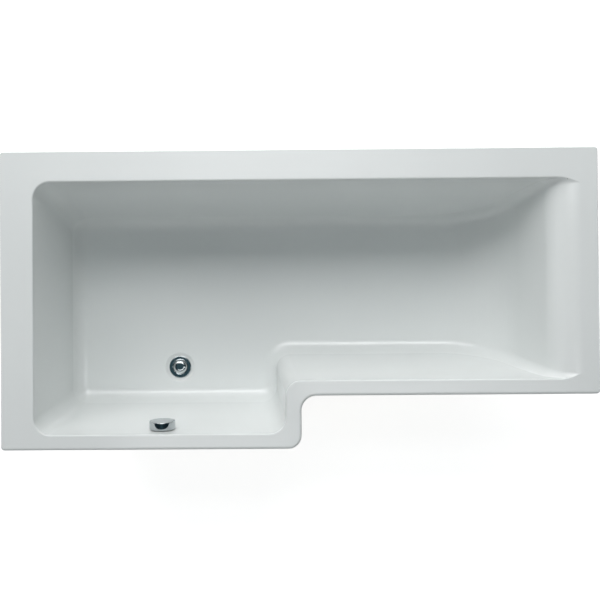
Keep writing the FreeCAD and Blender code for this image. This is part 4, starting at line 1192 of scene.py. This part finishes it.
pine_along = planed_pine("planed_pine_lengthwise", 0)
pine_across = planed_pine("planed_pine_crosswise", 1)
dress(pine_along, *[piece for piece, axis in batten_pieces.values() if axis == 0])
dress(pine_across, *[piece for piece, axis in batten_pieces.values() if axis == 1])

# %% [markdown]
# ## Zinc-plated steel
# Bars, rods, nuts and screws are mild steel with bright zinc plate. The plate is a soft grey, uneven
# where it was hung in the bath of zinc, in clouds about 15 mm wide, and it never takes a mirror polish.

# %% Bright zinc plate on steel
zinc, surface, place = finish_named("zinc_plated_steel")
clouds = add(zinc, "ShaderNodeTexNoise", {"Scale": 1 / 0.015, "Detail": 5}, {"Vector": place})
plated = add(zinc, "ShaderNodeMix", {MIX_A: linear("#A9AFB2"), MIX_B: linear("#C6CACB")},
             {"Factor": clouds.outputs["Fac"]}, data_type="RGBA")
satin = add(zinc, "ShaderNodeMapRange", {"To Min": 0.26, "To Max": 0.46}, {"Value": clouds.outputs["Fac"]})
surface.inputs["Metallic"].default_value = 1
join(zinc, surface, Base_Color=plated.outputs[MIXED], Roughness=satin.outputs["Result"])
steel_nodes = [nodes[name] for name in nodes if name.startswith("leg_") or name == "lever_pin"]
dress(zinc, upper_nuts, lower_nuts, *rods, *steel_nodes)

# %% [markdown]
# ## Moulded plastics
# Feet and cable sheath are black, the waste and overflow fittings white, the hose grey: all
# injection-moulded or extruded polypropylene. The mould is finely spark-eroded, which leaves a grain of
# about half a millimetre and a soft sheen. It is drawn at 0.8 mm so that it shows. One function makes the
# finish in each colour.

# %% Polypropylene in three colours
def moulded(name, dark, light, gloss, matt):
    plastic, surface, place = finish_named(name)
    cast = add(plastic, "ShaderNodeTexNoise", {"Scale": 1 / 0.040, "Detail": 3}, {"Vector": place})
    colour = add(plastic, "ShaderNodeMix", {MIX_A: linear(dark), MIX_B: linear(light)},
                 {"Factor": cast.outputs["Fac"]}, data_type="RGBA")
    grain = add(plastic, "ShaderNodeTexNoise", {"Scale": 1 / 0.0008, "Detail": 2}, {"Vector": place})
    eroded = add(plastic, "ShaderNodeBump", {"Strength": 0.15, "Distance": 0.0001},
                 {"Height": grain.outputs["Fac"]})
    sheen = add(plastic, "ShaderNodeMapRange", {"To Min": gloss, "To Max": matt},
                {"Value": grain.outputs["Fac"]})
    join(plastic, surface, Base_Color=colour.outputs[MIXED], Roughness=sheen.outputs["Result"],
         Normal=eroded.outputs["Normal"])
    return plastic


FOOT_PADS = [nodes[name] for name in nodes if name.startswith("foot_pad_")]
WHITE_FITTINGS = ["waste_body", "overflow_elbow", "overflow_bush", "overflow_crank", "lift_lever",
                  "hose_nuts"]
black_plastic = moulded("black_polypropylene", "#16171A", "#242629", 0.40, 0.60)
white_plastic = moulded("white_polypropylene", "#DEDFDB", "#EBECE9", 0.34, 0.48)
grey_plastic = moulded("grey_polypropylene", "#868B8E", "#9DA2A4", 0.36, 0.50)
dress(black_plastic, cable, *FOOT_PADS)
dress(white_plastic, *[nodes[name] for name in WHITE_FITTINGS])
dress(grey_plastic, hose)

# %% [markdown]
# ## Rubber and brass
# The sealing rings are black nitrile rubber: matt, with a dusty bloom in small clouds. Spindle, stem and
# cable ends are turned brass, a warm yellow metal with fine marks from the lathe tool, about half a
# millimetre wide.

# %% Nitrile rubber
rubber, surface, place = finish_named("black_nitrile_rubber")
bloom = add(rubber, "ShaderNodeTexNoise", {"Scale": 1 / 0.006, "Detail": 4}, {"Vector": place})
dusty = add(rubber, "ShaderNodeMix", {MIX_A: linear("#191919"), MIX_B: linear("#2C2C2B")},
            {"Factor": bloom.outputs["Fac"]}, data_type="RGBA")
matt = add(rubber, "ShaderNodeMapRange", {"To Min": 0.65, "To Max": 0.90}, {"Value": bloom.outputs["Fac"]})
join(rubber, surface, Base_Color=dusty.outputs[MIXED], Roughness=matt.outputs["Result"])
dress(rubber, *[nodes[name] for name in nodes if name.endswith("_seal")])

# %% Turned brass
brass, surface, place = finish_named("turned_brass")
tool_marks = add(brass, "ShaderNodeTexNoise", {"Scale": 1 / 0.0005, "Detail": 1}, {"Vector": place})
yellow = add(brass, "ShaderNodeMix", {MIX_A: linear("#C3A15C"), MIX_B: linear("#D9BC7C")},
             {"Factor": tool_marks.outputs["Fac"]}, data_type="RGBA")
lathe = add(brass, "ShaderNodeMapRange", {"To Min": 0.20, "To Max": 0.36},
            {"Value": tool_marks.outputs["Fac"]})
surface.inputs["Metallic"].default_value = 1
join(brass, surface, Base_Color=yellow.outputs[MIXED], Roughness=lathe.outputs["Result"])
dress(brass, nodes["plug_stem"], nodes["overflow_spindle"], nodes["cable_ferrules"])

# %% [markdown]
# ## The studio floor
# A pale floor lies under the feet. More light would make it whiter but would also wash out the white of
# the bath, so the floor shows the camera, and anything that mirrors it, some white of its own. The rest
# of its brightness is lamplight, so the shadow of the bath still falls on it.

# %% Floor
FLOOR_SIZE = 24
FLOOR_TOP = -0.0005
FLOOR_GLOW = 0.80
bpy.ops.object.select_all(action="DESELECT")
bpy.ops.mesh.primitive_plane_add(size=FLOOR_SIZE, location=(0, 0, FLOOR_TOP))
floor = bpy.context.object
floor.name = "studio_floor"
paper, surface, place = finish_named("pale_paper_floor")
mottle = add(paper, "ShaderNodeTexNoise", {"Scale": 1 / 0.200}, {"Vector": place})
pale = add(paper, "ShaderNodeMix", {MIX_A: linear("#E9E9E9"), MIX_B: linear("#EEEEEE")},
           {"Factor": mottle.outputs["Fac"]}, data_type="RGBA")
seen = add(paper, "ShaderNodeLightPath")
direct = add(paper, "ShaderNodeMath", None,
             {0: seen.outputs["Is Camera Ray"], 1: seen.outputs["Is Glossy Ray"]}, operation="MAXIMUM")
through = add(paper, "ShaderNodeMath", None,
              {0: direct.outputs[0], 1: seen.outputs["Is Transmission Ray"]}, operation="MAXIMUM")
glow = add(paper, "ShaderNodeMath", {1: FLOOR_GLOW}, {0: through.outputs[0]}, operation="MULTIPLY")
surface.inputs["Roughness"].default_value = 0.9
surface.inputs["Specular IOR Level"].default_value = 0
surface.inputs["Emission Color"].default_value = (1, 1, 1, 1)
join(paper, surface, Base_Color=pale.outputs[MIXED], Emission_Strength=glow.outputs[0])
dress(paper, floor)

# %% [markdown]
# ## The light
# The main light comes from high behind the wall side: one bright panel behind the middle, and dimmer ones
# beside and behind it. It lights the room-side walls and the backrest and leaves the wall side in shade.
# Low panels behind, at the left and in front open the shadows. Overhead, a few narrow strips show mainly
# as reflections along the rims. Strips of different lengths over each other add up, so that a reflection
# fades out towards its ends. A panel's power is worked out from how bright its face is, where 1 is white
# paper. Each row gives a panel's name, its place, what it is turned to, its width, depth and brightness.

# %% Soft panels
PANELS = [
    ("main_panel", (0.00, 5.00, 7.50), (0.00, 5.00, 0.00), 4.00, 3.00, 6.60),
    ("main_panel_left", (-4.25, 5.00, 7.50), (-4.25, 5.00, 0.00), 4.50, 3.00, 3.20),
    ("far_panel_left", (-6.10, 8.50, 7.50), (-6.10, 8.50, 0.00), 4.80, 4.00, 5.60),
    ("far_panel_right", (1.90, 8.50, 7.50), (1.90, 8.50, 0.00), 5.20, 4.00, 2.20),
    ("back_rim_glow_wide", (0.00, 0.76, 3.31), (0.00, 0.76, 0.00), 3.30, 0.38, 0.45),
    ("back_rim_glow", (-0.20, 0.76, 3.30), (-0.20, 0.76, 0.00), 2.40, 0.38, 0.90),
    ("back_rim_glow_middle", (-0.20, 0.76, 3.29), (-0.20, 0.76, 0.00), 1.60, 0.38, 0.90),
    ("back_rim_glow_core", (-0.20, 0.76, 3.28), (-0.20, 0.76, 0.00), 0.90, 0.38, 0.90),
    ("wide_rim_strip", (-0.52, -0.72, 3.30), (-0.52, -0.72, 0.00), 0.95, 0.20, 2.90),
    ("narrow_rim_strip", (0.65, -0.44, 3.30), (0.65, -0.44, 0.00), 1.40, 0.19, 1.90),
    ("narrow_rim_strip_core", (0.40, -0.44, 3.29), (0.40, -0.44, 0.00), 0.90, 0.19, 1.50),
    ("low_rear", (0.00, 6.40, 3.20), (0.00, 0.00, 0.60), 4.00, 3.20, 4.05),
    ("low_left", (-6.00, 0.00, 3.20), (0.00, 0.00, 0.60), 4.00, 3.20, 0.40),
    ("low_front", (0.00, -6.00, 3.20), (0.00, 0.00, 0.60), 4.00, 3.20, 1.40),
]
for name, spot, aim, wide, deep, brightness in PANELS:
    bpy.ops.object.select_all(action="DESELECT")
    bpy.ops.object.light_add(type="AREA", location=spot)
    panel = bpy.context.object
    panel.name = name
    panel.data.shape = "RECTANGLE"
    panel.data.size = wide
    panel.data.size_y = deep
    panel.data.energy = math.pi * wide * deep * brightness
    panel.rotation_euler = (Vector(aim) - Vector(spot)).to_track_quat("-Z", "Y").to_euler()
    panel.visible_camera = False
    print(name, round(panel.data.energy, 1), "W")

# %% [markdown]
# ## The room
# Around the set the room is grey at eye level and dark overhead, with a little more light right above,
# where the camera hangs. The dark ceiling is what makes the flat chrome ring of the waste look like
# metal. The camera itself sees plain white past the edge of the floor.

# %% Room
room = bpy.data.worlds.new("studio_room")
bpy.context.scene.world = room
room.use_nodes = True
heading = add(room, "ShaderNodeTexCoord").outputs["Generated"]
climb = add(room, "ShaderNodeSeparateXYZ", None, {"Vector": heading}).outputs["Z"]
upward = add(room, "ShaderNodeMapRange", {"From Min": 0.22, "From Max": 0.38}, {"Value": climb})
zenith = add(room, "ShaderNodeMapRange", {"From Min": 0.90, "From Max": 0.97}, {"Value": climb})
ceiling = add(room, "ShaderNodeMix", {MIX_A: linear("#1A292F"), MIX_B: linear("#3B525A")},
              {"Factor": zenith.outputs["Result"]}, data_type="RGBA")
grey = add(room, "ShaderNodeMix", {MIX_A: linear("#8E9191")},
           {"Factor": upward.outputs["Result"], MIX_B: ceiling.outputs[MIXED]}, data_type="RGBA")
ray = add(room, "ShaderNodeLightPath")
backdrop = add(room, "ShaderNodeMix", {MIX_B: linear("#FFFFFF")},
               {"Factor": ray.outputs["Is Camera Ray"], MIX_A: grey.outputs[MIXED]}, data_type="RGBA")
background = room.node_tree.nodes["Background"]
room.node_tree.links.new(backdrop.outputs[MIXED], background.inputs["Color"])
bpy.context.scene.view_settings.view_transform = "Standard"
print("room", [node.name for node in room.node_tree.nodes])
